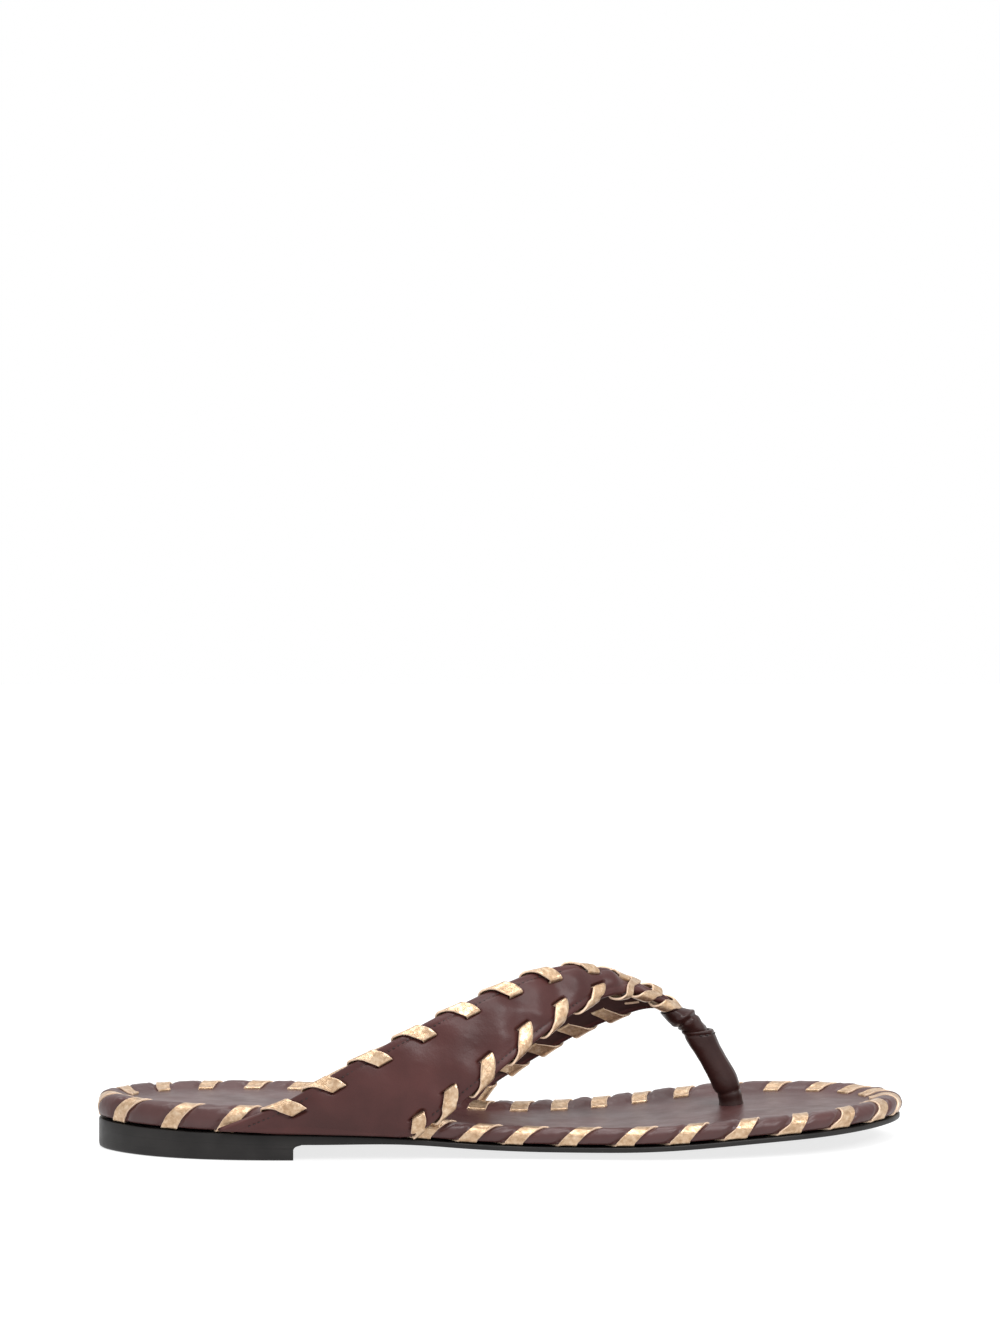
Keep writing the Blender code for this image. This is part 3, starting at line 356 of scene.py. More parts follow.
class Nodes:
    """Short way to add and link shader nodes."""

    def __init__(self, name):
        self.material = bpy.data.materials.new(name)
        self.material.use_nodes = True
        self.tree = self.material.node_tree
        self.shader = self.tree.nodes["Principled BSDF"]

    def add(self, kind, settings=None, **inputs):
        node = self.tree.nodes.new(kind)
        for key, value in (settings or {}).items():
            setattr(node, key, value)
        for key, value in inputs.items():
            self.put(node, key.replace("_", " "), value)
        return node

    def put(self, node, key, value):
        socket = node.inputs[key]
        if isinstance(value, bpy.types.NodeSocket):
            self.tree.links.new(value, socket)
        else:
            socket.default_value = value

    def place(self):
        return self.add("ShaderNodeTexCoord").outputs["Object"]

    def noise(self, scale, detail=4.0, roughness=0.55, vector=None):
        made = self.add("ShaderNodeTexNoise", Scale=scale, Detail=detail, Roughness=roughness,
                        Vector=vector or self.place())
        return made.outputs["Fac"]

    def cells(self, scale, feature="DISTANCE_TO_EDGE", vector=None):
        made = self.add("ShaderNodeTexVoronoi", {"feature": feature}, Scale=scale,
                        Vector=vector or self.place())
        return made.outputs["Distance"]

    def ramp(self, value, stops):
        made = self.add("ShaderNodeValToRGB", Fac=value)
        ramp = made.color_ramp
        while len(ramp.elements) < len(stops):
            ramp.elements.new(0.5)
        for element, (position, colour) in zip(ramp.elements, stops):
            element.position = position
            element.color = (*colour, 1) if len(colour) == 3 else colour
        return made.outputs["Color"]

    def range(self, value, low, high, from_low=0.0, from_high=1.0):
        made = self.add("ShaderNodeMapRange", Value=value, From_Min=from_low, From_Max=from_high,
                        To_Min=low, To_Max=high)
        return made.outputs["Result"]

    def maths(self, operation, *values):
        made = self.add("ShaderNodeMath", {"operation": operation})
        for index, value in enumerate(values):
            self.put(made, index, value)
        return made.outputs[0]

    def mix(self, kind, factor, one, two):
        """Mixes two vectors or colours. A mix node has sockets of its own for each kind."""
        made = self.add("ShaderNodeMix", {"data_type": kind}, Factor=factor)
        first, result = {"VECTOR": (4, 1), "RGBA": (6, 2)}[kind]
        self.put(made, first, one)
        self.put(made, first + 1, two)
        return made.outputs[result]

    def bump(self, height, strength, distance, normal=None):
        made = self.add("ShaderNodeBump", Height=height, Strength=strength, Distance=distance)
        if normal is not None:
            self.put(made, "Normal", normal)
        return made.outputs["Normal"]

    def finish(self, **inputs):
        for key, value in inputs.items():
            self.put(self.shader, key.replace("_", " "), value)
        return self.material


def leather(name, dark, light, roughness=0.42, grain=0.12, specular=0.27):
    """Smooth finished leather: fine pores and pebbles, and slow changes of tone and gloss."""
    n = Nodes(name)
    tone = n.noise(55.0, 3.0)
    colour = n.ramp(tone, [(0.35, dark), (0.68, light)])
    pebbles = n.cells(1500.0, "F1")
    pores = n.noise(2600.0, 2.0)
    creases = n.noise(210.0, 5.0, 0.6)
    fine = n.maths("ADD", n.maths("MULTIPLY", pebbles, 0.7), n.maths("MULTIPLY", pores, 0.4))
    normal = n.bump(fine, grain, 0.0002)
    normal = n.bump(creases, 0.22, 0.0006, normal)
    gloss = n.range(n.noise(120.0, 4.0), roughness - 0.06, roughness + 0.08, 0.3, 0.7)
    return n.finish(Base_Color=colour, Roughness=gloss, Normal=normal, Specular_IOR_Level=specular)


def gold_foil(name):
    """Gold foil on leather, finely crackled, with the brown of the leather in the cracks."""
    n = Nodes(name)
    place = n.place()
    wobble = n.noise(700.0, 3.0, vector=place)
    warp = n.add("ShaderNodeTexNoise", Scale=900.0, Detail=2.0, Vector=place).outputs["Color"]
    cracks = n.cells(3200.0, vector=n.mix("VECTOR", 0.0006, place, warp))
    long_cracks = n.noise(3000.0, 3.0, 0.7, vector=place)
    worn = n.range(n.noise(260.0, 3.0, vector=place), 0.0, 1.0, 0.42, 0.66)
    line = n.range(cracks, 1.0, 0.0, 0.0, 0.10)
    line = n.maths("MULTIPLY", line, worn)
    speck = n.range(long_cracks, 0.0, 0.8, 0.56, 0.70)
    speck = n.maths("MULTIPLY", speck, worn)
    dark = n.maths("MAXIMUM", n.maths("MULTIPLY", line, 0.75), speck)
    foil = n.ramp(wobble, [(0.3, (0.37, 0.235, 0.14)), (0.5, (0.52, 0.36, 0.23)),
                           (0.72, (0.66, 0.51, 0.36))])
    colour = n.mix("RGBA", dark, foil, (0.30, 0.17, 0.08, 1))
    grain = n.maths("SUBTRACT", wobble, n.maths("MULTIPLY", dark, 0.8))
    normal = n.bump(grain, 0.35, 0.0003)
    rough = n.range(dark, 0.29, 0.6)
    return n.finish(Base_Color=colour, Metallic=0.8, Roughness=rough, Normal=normal)


def sole_black(name):
    """Painted and waxed edge of a leather sole."""
    n = Nodes(name)
    tone = n.noise(90.0, 4.0)
    colour = n.ramp(tone, [(0.3, (0.009, 0.0080, 0.0077)), (0.75, (0.018, 0.0162, 0.0156))])
    place = n.place()
    along = n.add("ShaderNodeMapping", Vector=place, Scale=(60.0, 60.0, 900.0)).outputs["Vector"]
    layers = n.noise(1.0, 4.0, 0.6, vector=along)
    fine = n.noise(1800.0, 3.0)
    normal = n.bump(layers, 0.05, 0.0002)
    normal = n.bump(fine, 0.08, 0.0002, normal)
    gloss = n.range(n.noise(160.0, 5.0), 0.34, 0.50, 0.3, 0.7)
    return n.finish(Base_Color=colour, Roughness=gloss, Normal=normal, Specular_IOR_Level=0.24)


def plain_grain(name, colour, roughness, metallic=0.0, scale=900.0, strength=0.25):
    """Surface with a fine grain and a slight change of tone, for pieces inside the sole and thread."""
    n = Nodes(name)
    grain = n.noise(scale, 5.0)
    darker = tuple(c * 0.75 for c in colour)
    tone = n.ramp(grain, [(0.3, darker), (0.7, colour)])
    normal = n.bump(grain, strength, 0.0003)
    rough = n.range(grain, roughness - 0.06, roughness + 0.06)
    return n.finish(Base_Color=tone, Roughness=rough, Metallic=metallic, Normal=normal)


# ---------------------------------------------------------------- rim and footbed

# Section of the rim: inset, and height as a + b times the crest's height over the outsole.
ROLL = [(1.9, 0), (0.55, 0.11), (0, 0.42), (0.6, 0.74), (2.0, 0.93), (RIM_CREST, 1), (6.7, 0.9)]
SECTION = ([(7.4, RIM_FOOT, 0)] + [(inset, RIM_FOOT * (1 - share), share) for inset, share in ROLL]
           + [(8.9, 0.3 - RIM_DROP, 1), (11.2, -RIM_DROP, 1)])
# How far round the outline a lace has moved from its crest, at each whole place on the section.
TURN_SHIFT = [-6.6, -6.4, -5.9, -4.4, -2.4, -0.9, 0.5, 2.0, 2.9, 3.1]
section_curve = Spline(np.array(SECTION) + (RIM_EDGE, 0, 0), knots=range(len(SECTION)))


def turn_shift(t):
    return np.interp(t, range(len(TURN_SHIFT)), TURN_SHIFT)


def all_turns():
    turns = np.array(HEEL_TURNS + TOE_TURNS)
    return np.sort(turns % OUTLINE.length)


def lace_distance(s, t, turns):
    """Distance round the rim from the middle of the nearest lace."""
    place = s - turn_shift(t)
    away = np.abs((place[..., None] - turns + OUTLINE.length / 2) % OUTLINE.length - OUTLINE.length / 2)
    return away.min(-1)


def puff(s, t, turns):
    """How far the padded rim stands out: it is drawn in under each lace and swells between them."""
    nearest = lace_distance(s, t, turns)
    flank = 1 - 0.55 * smooth(t, 4.5, 6.0)
    swell = 0.62 * smooth(nearest, 2.6, 6.2) * flank
    drawn = -0.42 * np.exp(-(nearest / 3.1) ** 4)
    pinch = -0.30 * np.exp(-((nearest - 3.5) / 0.7) ** 2) * (1 - 0.4 * smooth(t, 5, 6.5))
    over_crest = smooth(t, 1.2, 2.5) * (1 - smooth(t, 7.2, 9.0))
    return (swell + drawn + pinch) * over_crest


def off_section(t, crest, out):
    """Inset, and height over the outsole, at places t of the rim's section and out off its surface."""
    curve = section_curve(t)
    slope = section_curve(t + 0.02) - section_curve(t - 0.02)
    rise = slope[:, 1] + slope[:, 2] * crest
    length = np.hypot(slope[:, 0], rise)
    inset = curve[:, 0] - rise / length * out
    return inset, curve[:, 1] + curve[:, 2] * crest + slope[:, 0] / length * out


def rim_points(s, t, turns, extra=0.0):
    """Points of the rim's surface at places s round the outline and t across its section."""
    crest = rim_height(OUTLINE.at(s)[:, 0])
    inset, height = off_section(t, crest, puff(s, t, turns) + extra)
    return edge_point(s, inset, height)


def make_footbed(surface):
    count, columns = 1400, 26
    turns = all_turns()
    places = ring_places(count)
    t_values = np.concatenate([np.linspace(0, 1, 4)[:-1], np.linspace(1, 9, 41)])
    rings = []
    for t in t_values:
        across = np.full(count, t)
        base = rim_points(places, across, turns)
        away = lace_distance(places, across, turns)
        pucker = 0.16 * np.exp(-((away - 4.6) / 1.5) ** 2)
        crinkle = (0.07 + pucker) * noise(base, 2.0) + (0.03 + pucker * 0.5) * noise(base, 0.95, 5.3)
        crinkle = crinkle * smooth(t, 2, 4) * (1 - smooth(t, 6.5, 8.5))
        rings.append(rim_points(places, across, turns, crinkle))
    start = (len(rings) - 1) * count
    bed, bed_faces = fill_plan(rings[-1], start, start + count, columns)
    bed = np.column_stack([bed, deck(bed) + rim_height(bed[:, 0]) - RIM_DROP])
    bed[:, 2] += 0.10 * noise(bed, 17) + 0.03 * noise(bed, 6, 2.7)
    points = np.vstack(rings + [bed])
    faces = tube_faces(len(rings), count) + bed_faces
    piece = make_piece("footbed_leather", points, faces, surface, ["footbed_cover"])
    solid = piece.modifiers.new("thickness", "SOLIDIFY")
    solid.thickness = COVER_THICK * MM
    solid.offset = -1
    return piece


# ---------------------------------------------------------------- laces

# Cross-section of a lace: share of the way across, height, and whether the face after it is a cut edge.
LACE_SECTION = (
    [(x, 0.5 + 0.14 * (1 - x * x), False) for x in (-0.94, -0.7, -0.35, 0, 0.35, 0.7)]
    + [(0.94, 0.5, True), (1.0, 0.25, True), (1.0, -0.25, True)]
    + [(x, -0.5 + 0.14 * (1 - x * x), False) for x in (0.94, 0.7, 0.35, 0, -0.35, -0.7)]
    + [(-0.94, -0.5, True), (-1.0, -0.25, True), (-1.0, 0.25, True)]
)


def ribbon(left, right):
    """Rings of a lace between its two sides, each a row of points."""
    centre = (left + right) / 2
    rung = right - left
    along = unit(np.gradient(centre, axis=0))
    normal = np.cross(rung, along)
    for _ in range(3):
        normal[1:-1] = (normal[:-2] + 2 * normal[1:-1] + normal[2:]) / 4
    normal = unit(normal) * LACE_THICK
    rings = [centre + rung / 2 * share + normal * up for share, up, _ in LACE_SECTION]
    return np.array(rings).transpose(1, 0, 2)


def make_lace(name, rings, surface, edge_surface, nodes):
    """Makes a lace from its rings, with its cut edges in their own surface."""
    points, faces = tube(rings)
    piece = make_piece(name, points, outward(points, faces), surface, nodes, sharp=55)
    piece.data.materials.append(edge_surface)
    sides = len(LACE_SECTION)
    cut = [edge for _, _, edge in LACE_SECTION]
    index = [int(cut[k % sides]) for k in range((len(rings) - 1) * sides)] + [1, 1]
    piece.data.polygons.foreach_set("material_index", index)
    return piece


def rim_lace_turn(s, turns):
    """Both sides of one turn round the rim: (place, inset, height over the outsole) twice."""
    t = np.linspace(1.5, 8.3, 26)
    shift = turn_shift(t)
    crest = rim_height(OUTLINE.at(s + shift)[:, 0])
    inset, height = off_section(t, crest, 0.08 + LACE_THICK / 2 + puff(s + shift, t, turns))
    x = OUTLINE.at(s)[0, 0]
    toe = float(smooth(x, 170, 215))
    half = LACE_WIDTH / 2
    middle = s + shift * np.where(shift < 0, 1 - 0.35 * toe, 1)
    ahead = middle + half
    behind = middle - half - 2.2 * toe * (1 - smooth(t, 1.8, 3.6))
    visible = np.column_stack([ahead, inset, height, behind, inset, height])
    bed = float(rim_height(x)) - RIM_DROP
    hidden = []
    for place, deep, level in (
        (s - 10.7, 9.6, SEAM / 2), (s - 8.2, 4.5, SEAM / 2), (s - 7.0, 2.4, SEAM * 0.42),
        (s + 3.2, 10.3, bed + 0.1), (s + 3.2, 10.45, bed - 1.0), (s + 3.2, 10.3, SEAM + 1.0),
    ):
        hidden.append((place + half, deep, level, place - half, deep, level))
    return np.vstack([hidden[:3], visible, hidden[3:]])


def make_rim_lace(name, node, places, surface, edge_surface):
    turns = all_turns()
    route = rounded(np.vstack([rim_lace_turn(place, turns) for place in places]), 1)
    ahead = edge_point(route[:, 0], route[:, 1], route[:, 2])
    behind = edge_point(route[:, 3], route[:, 4], route[:, 5])
    return make_lace(name, ribbon(ahead, behind), surface, edge_surface, [node])


# ---------------------------------------------------------------- straps

def same_size(u, v):
    return np.broadcast_arrays(np.atleast_1d(u).astype(float), np.atleast_1d(v).astype(float))


class Strap:
    """One strap: u runs from the sole (0) to the thong (1), v from its rear edge to its front edge."""

    def __init__(self, name, rear, front, side, margin, rear_slits, front_slits):
        self.name = name
        self.rear = Path(rear)
        self.front = Path(front)
        self.side = side
        self.margin_ends = [self.outline_place(x) for x in margin]
        self.slits = {True: np.array(rear_slits, float), False: np.array(front_slits, float)}

    def path(self, rear):
        return self.rear if rear else self.front

    def outline_place(self, x):
        span = (0, TOE_LENGTH) if self.side < 0 else (OUTLINE.length, TOE_LENGTH)
        s = np.linspace(*span, 600)
        return np.interp(x, OUTLINE.at(s)[:, 0], s)

    def off_rim(self, points):
        """Moves points that would lie against the rim out to their place outside it."""
        s = self.outline_place(points[:, 0])
        edge = OUTLINE.at(s)[:, 1]
        crest = deck(points[:, :2]) + rim_height(points[:, 0])
        needed = STRAP_OFF_RIM * (1 - smooth(points[:, 2], crest, crest + 9))
        outwards = (points[:, 1] - edge) * self.side
        lift = np.where(points[:, 2] < crest + 9, np.maximum(needed - outwards, 0), 0)
        points[:, 1] += self.side * lift
        return points

    def face(self, u, v):
        u, v = same_size(u, v)
        rear = self.rear.at(u * self.rear.length)
        front = self.front.at(u * self.front.length)
        gathered = THONG_NARROW if self.side < 0 else 0
        narrow = 1 - gathered * smooth(u, 0.77, 0.86) * (1 - smooth(u, 0.94, 1.0))
        points = rear + (front - rear) * (v * narrow)[:, None]
        run = self.rear.tangent(u * self.rear.length) + self.front.tangent(u * self.front.length)
        out = unit(np.cross(front - rear, run)) * -self.side
        out = np.where((out[:, 1] * self.side < 0)[:, None] & (out[:, 2] < 0)[:, None], -out, out)
        crown = STRAP_CROWN * smooth(u, 0.05, 0.3) * (1 - smooth(u, 0.75, 0.95))
        points = points + out * (crown * 4 * v * (1 - v))[:, None]
        return self.off_rim(points)

    def normal(self, u, v, step=0.01):
        u, v = same_size(u, v)
        low_u, high_u = np.clip(u - step, 0, 1), np.clip(u + step, 0, 1)
        low_v, high_v = np.clip(v - step * 3, 0, 1), np.clip(v + step * 3, 0, 1)
        du = self.face(high_u, v) - self.face(low_u, v)
        dv = self.face(u, high_v) - self.face(u, low_v)
        return unit(np.cross(dv, du)) * -self.side

    def width(self, u):
        return np.linalg.norm(self.face(u, 0) - self.face(u, 1), axis=1)

    def lean(self, rear, u):
        """How a line of constant u lies against an edge: its parts along and across it, its length."""
        path = self.path(rear)
        chord = (self.face(u, 1) - self.face(u, 0)) * (1 if rear else -1)
        length = np.linalg.norm(chord, axis=1)
        along = np.sum(chord * path.tangent(u * path.length), 1) / length
        return along, np.sqrt(np.maximum(1 - along ** 2, 0.05)), length

    def edge(self, rear, s, inset, height):
        """Point near an edge: s along the edge, inset square to it, height over the outer face."""
        path = self.path(rear)
        s, inset, height = np.broadcast_arrays(s, inset, height)
        along, across, length = self.lean(rear, np.clip(s / path.length, 0, 1))
        inside = np.maximum(inset, 0)
        u = np.clip((s - along * inside / across) / path.length, 0, 1)
        share = np.clip(inside / across / length, 0, 0.9)
        v = share if rear else 1 - share
        points = self.face(u, v)
        normal = self.normal(u, v)
        tangent = path.tangent(s)
        towards = self.face(u, 0) - self.face(u, 1)
        towards = unit(towards - tangent * np.sum(towards * tangent, 1)[:, None])
        beyond = np.minimum(inset, 0)[:, None] * towards
        points = points + (-beyond if rear else beyond)
        return points + normal * height[:, None]

    def dents(self, u, v):
        """Height of the outer face over its smooth shape: slits, pulls of the lace, and soft folds."""
        soft = np.column_stack([u * self.rear.length, v * 5, v * 0])
        face = smooth(u, 0.30, 0.50) * (1 - smooth(u, 0.78, 0.9)) * np.maximum(4 * v * (1 - v), 0) ** 1.4
        total = np.maximum(0.35 + 0.6 * noise(soft, 10.5, 6.6) + 0.25 * noise(soft, 5.2, 2.9), 0) * face
        for rear in (True, False):
            path = self.path(rear)
            along, square, length = self.lean(rear, u)
            chord = (v if rear else 1 - v) * length
            across = chord * square
            place = u * path.length + chord * along
            total -= 0.20 * np.exp(-((across - STITCH_INSET) / 0.5) ** 2)
            for s, inset in self.slits[rear]:
                away = place - s
                near = np.abs(away)
                total -= 1.3 * np.exp(-((across - inset - 0.15) / 0.42) ** 2) * (1 - smooth(near, 2.3, 2.9))
                reach = np.where(across > inset, 6.0, 2.6)
                falling = np.exp(-((across - inset) / reach) ** 2)
                total -= 0.55 * falling * np.exp(-(near / 3.4) ** 2)
                total += 0.30 * falling * np.exp(-((near - 6.4) / 2.6) ** 2)
                lace = away + 0.8 * (inset - across)
                under = (1 - smooth(np.abs(lace), 2.0, 3.6)) * (across < inset)
                total -= 0.25 * under
        return total


def edge_section(radius, sides=7):
    """Quarter of a rounded edge: (inset, drop) from the middle of the edge to the flat."""
    angle = np.linspace(0, np.pi / 2, sides)
    return radius * (1 - np.cos(angle)), radius * (1 - np.sin(angle))


def make_strap(strap, surface, folds):
    rows = 420
    radius = STRAP_THICK / 2
    u = np.linspace(0, 1, rows)
    width = strap.width(u)
    inset, drop = edge_section(radius)
    outer = [(i / width, np.full(rows, d)) for i, d in zip(inset, drop)]
    outer += [((radius + (width - 2 * radius) * share) / width, np.zeros(rows))
              for share in np.linspace(0, 1, 74)[1:-1]]
    outer += [(1 - i / width, np.full(rows, d)) for i, d in zip(inset[::-1], drop[::-1])]
    inner = [(v, STRAP_THICK - depth) for v, depth in outer[::-1][1:-1]]
    columns = []
    for v, depth in outer:
        base = strap.face(u, v)
        normal = strap.normal(u, np.clip(v, 0.02, 0.98))
        soft = 0.34 * noise(base, 13, folds) + 0.12 * noise(base, 5, folds + 3.1) + 0.03 * noise(base, 1.6)
        fade = smooth(u, 0.02, 0.12) * (1 - smooth(u, 0.93, 1.0))
        flat = 1 - smooth(depth, 0, radius)
        lift = (soft * fade + strap.dents(u, v)) * flat
        columns.append(base + normal * (lift - depth)[:, None])
    for v, depth in inner:
        base = strap.face(u, v)
        normal = strap.normal(u, np.clip(v, 0.02, 0.98))
        columns.append(base - normal * depth[:, None])
    rings = np.array(columns).transpose(1, 0, 2)

    # The base carries on under the rim as a thin margin.
    start, end = strap.margin_ends
    v_all = np.array([v[0] for v, _ in outer + inner])
    depth_all = np.array([depth[0] for _, depth in outer + inner])
    s = start + (end - start) * v_all
    foot = []
    for inset, height, blend in ((7.0, 0.3, 1.0), (3.0, 0.3, 1.0), (0.6, 0.32, 1.0), (-0.5, 0.9, 0.55)):
        place = edge_point(s, inset + depth_all * SKIVED * 0.3, height + depth_all * SKIVED)
        foot.append(place * blend + rings[0] * (1 - blend))
    points, faces = tube(np.concatenate([foot, rings[:1], rings[4:]]))
    return make_piece(f"{strap.name}_strap_leather", points, outward(points, faces), surface,
                      [f"{strap.name}_strap"])


def make_lining(strap, surface):
    """Lining glued to the inner face, with its own thin edge."""
    rows, columns = 200, 24
    u = np.linspace(0.09, 0.93, rows)
    width = strap.width(u)
    v_low, v_high = 1.9 / width, 1 - 1.9 / width
    outer, inner = [], []
    for share in np.linspace(0, 1, columns):
        v = v_low + (v_high - v_low) * share
        base = strap.face(u, v)
        normal = strap.normal(u, v)
        edge = 0.22 * (abs(share - 0.5) > 0.499)
        ripple = 0.05 * noise(base, 6, 1.9)
        inner.append(base - normal * (STRAP_THICK - 0.1))
        outer.append(base - normal * (STRAP_THICK + 0.28 - edge + ripple)[:, None])
    rings = np.array(outer + inner[::-1]).transpose(1, 0, 2)
    points, faces = tube(rings)
    return make_piece(f"{strap.name}_strap_lining_leather", points, outward(points, faces), surface,
                      [f"{strap.name}_strap_lining"], sharp=50)


def strap_lace_turn(s, inset, follow, follow_inset, ahead_at, behind_at):
    """Both sides of one turn round a strap's edge: (s, inset, height over the outer face) twice.

    The lace comes up through its slit, slants over the face towards the sole, rolls round the edge, where
    its rear side hangs back in a curl, and runs on behind the strap to the following slit.
    """
    half = LACE_WIDTH * 0.42
    back = -STRAP_THICK - 0.65
    ahead = [
        (half, inset, back), (half, inset, -0.9), (half - 0.05, inset - 0.1, 0.25),
        (half - 0.2, inset * 0.86, 0.60), (half - 0.11 * inset, inset * 0.58, 0.62),
        (half - 0.34 * inset, inset * 0.27, 0.62),
    ]
    behind = [
        (-half, inset, back), (-half, inset, -0.9), (-half - 0.05, inset - 0.1, 0.25),
        (-half - 0.11 * inset, inset * 0.86, 0.62), (-half - 0.32 * inset, inset * 0.58, 0.68),
        (-half - 0.55 * inset, inset * 0.30, 0.85),
    ]
    middle = STRAP_THICK / 2
    roll = middle + 0.15 + LACE_THICK / 2
    for degrees, ahead_lag, behind_lag, loose in (
        (95, 1.4, 4.6, 0.45), (130, 0.7, 2.9, 0.60), (165, 0, 0.9, 0.60), (200, -0.8, 0, 0.50),
        (235, -1.8, -0.4, 0.35), (265, -2.8, -0.8, 0.15),
    ):
        angle = math.radians(degrees)
        out, up = math.cos(angle), math.sin(angle)
        ahead.append((ahead_at + ahead_lag, middle + roll * out, -middle + roll * up))
        behind.append((behind_at + behind_lag, middle + (roll + loose) * out,
                       -middle + (roll + loose * 0.6) * up))
    if follow is not None:
        gap = s - follow
        for share in (0.3, 0.62):
            deep = 1.2 * (1 - share) + follow_inset * share
            ahead.append(((ahead_at - 2.8) * (1 - share) + (half - gap) * share, deep, back))
            behind.append(((behind_at - 0.8) * (1 - share) - (half + gap) * share, deep, back))
    start = (s, 0, 0)
    return np.hstack([np.array(ahead) + start, np.array(behind) + start])


def make_strap_lace(strap, rear, crossing, surface, edge_surface):
    slits = strap.slits[rear][::-1]
    follows = list(slits[1:]) + [(None, None)]
    ahead_at, behind_at = crossing
    turns = []
    for (s, inset), (follow, follow_inset) in zip(slits, follows):
        run = s + 4 if follow is None else s - follow
        fit = min(1.0, run / 13.5)
        turns.append(strap_lace_turn(s, inset, follow, follow_inset, ahead_at * fit, behind_at * fit))
    route = rounded(np.vstack(turns), 3)
    ahead = strap.edge(rear, route[:, 0], route[:, 1], route[:, 2])
    behind = strap.edge(rear, route[:, 3], route[:, 4], route[:, 5])
    edge_name = "rear" if rear else "front"
    return make_lace(f"{strap.name}_{edge_name}_lace_gold", ribbon(ahead, behind), surface, edge_surface,
                     [f"{strap.name}_{edge_name}_lace"])


# Loops round the whole narrow end of the outer strap. Each row: place round the strap's section (0 rear edge,
# 1 front edge, 2 behind the front edge, 3 behind the rear edge), u of the loop's rear and fore side, and
# height over the leather.
THONG_LOOPS = [
    [(0, 0.872, 0.896, 0.45), (0.3, 0.860, 0.884, 0.4), (0.68, 0.830, 0.858, 0.4), (0.95, 0.792, 0.830, 0.5),
     (1.5, 0.752, 0.798, 0.5), (2.1, 0.742, 0.790, 0.4), (3, 0.795, 0.836, 0.4), (3.5, 0.843, 0.872, 0.5)],
    [(0, 0.922, 0.944, 0.5), (0.3, 0.917, 0.942, 0.4), (0.68, 0.902, 0.934, 0.4), (0.95, 0.876, 0.918, 0.5),
     (1.5, 0.848, 0.894, 0.4), (2.1, 0.840, 0.884, 0.4), (3, 0.878, 0.912, 0.4), (3.5, 0.910, 0.934, 0.7)],
    [(0, 0.972, 0.994, 0.5), (0.3, 0.968, 0.992, 0.4), (0.68, 0.958, 0.988, 0.4), (0.95, 0.944, 0.980, 0.5),
     (1.5, 0.922, 0.960, 0.6), (2.1, 0.914, 0.952, 1.0), (3, 0.940, 0.972, 1.0), (3.5, 0.962, 0.986, 0.7)],
]


def around(strap, u, place, height):
    """Point on a strap's skin: u along it, place round its section as in THONG_LOOPS, height over it."""
    v = np.where(place < 1, place, np.where(place < 2, 1, np.where(place < 3, 3 - place, 0)))
    points = strap.face(u, v)
    normal = strap.normal(u, np.clip(v, 0.1, 0.9))
    across = unit(strap.face(u, 1) - strap.face(u, 0))
    turned = np.where(place < 2, place - 1, np.where(place < 3, 1, 4 - place))
    turned = np.where(place < 1, 0, turned) * np.pi
    out = across * np.where(place < 3, 1, -1)[:, None]
    middle = STRAP_THICK / 2
    spread = normal * np.cos(turned)[:, None] + out * np.sin(turned)[:, None]
    return points - normal * middle + spread * (middle + height)[:, None]


def make_thong_loops(strap, surface, edge_surface):
    for number, loop in enumerate(THONG_LOOPS, 1):
        rows = np.array(loop)
        table = np.vstack([rows, rows[:1] + (4, 0, 0, 0), rows[1:] + (4, 0, 0, 0)])
        place = np.linspace(2.5, 6.5, 90)
        curve = Spline(table[:, 1:], knots=table[:, 0])(place)
        ahead = around(strap, curve[:, 1], place % 4, curve[:, 2])
        behind = around(strap, curve[:, 0], place % 4, curve[:, 2])
        make_lace(f"{strap.name}_thong_loop_{number}", ribbon(ahead, behind), surface, edge_surface, [])


def stitch(start, end, up, thick=0.15):
    """One thread stitch: a small loop of thread that dips into the leather at both ends."""
    rings = []
    along = end - start
    side = unit(np.cross(along, up))
    turn = np.arange(6) * np.pi / 3
    for k, share in enumerate((0, 0.12, 0.35, 0.65, 0.88, 1.0)):
        centre = start + along * share + up * (0.16 * math.sin(math.pi * share) - 0.12)
        size = thick * (0.35, 0.85, 1, 1, 0.85, 0.35)[k]
        rings.append(centre + (np.outer(np.cos(turn), side) + np.outer(np.sin(turn), up)) * size)
    return tube(np.array(rings))


def make_strap_stitches(strap, surface):
    parts = []
    for rear in (True, False):
        path = strap.path(rear)
        places = np.arange(9.0, path.length - 26, STITCH_PITCH)
        inset = np.full(len(places), STITCH_INSET)
        low = np.full(len(places), -0.06)
        starts = strap.edge(rear, places, inset, low)
        ends = strap.edge(rear, places + STITCH_LENGTH, inset, low)
        ups = unit(strap.edge(rear, places, inset, low + 1) - starts)
        parts += [stitch(a, b, n) for a, b, n in zip(starts, ends, ups)]
    points, faces = merge(parts)
    return make_piece(f"{strap.name}_strap_stitches", points, faces, surface)


# ---------------------------------------------------------------- toe post and collar

def post_frames(count):
    line = np.array(POST)
    spline = Path(line[:, :3])
    radius = Spline(line[:, 3:], knots=spline.spline.knots)
    s = np.linspace(0.0, spline.length, count)
    knots = np.interp(s, spline.lengths, spline.knots)
    return s, spline.at(s), spline.tangent(s), radius(knots)[:, 0], spline.length


def post_ring(centre, direction, radius, turn, level=0.0):
    """Ring across the post; level turns it from square to the post (0) to horizontal (1)."""
    side = unit(np.cross(direction, (0, 1, 0)))
    other = np.cross(direction, side)
    flat = unit(np.cross((0, 0, 1), (0, 1, 0)))
    tilted = unit(side * (1 - level) + flat * np.sign(flat @ side) * level)
    tilted = tilted / max(tilted @ side, 0.5)
    ring = np.outer(np.cos(turn), tilted) + np.outer(np.sin(turn), other)
    return centre + ring * np.reshape(radius, (-1, 1))


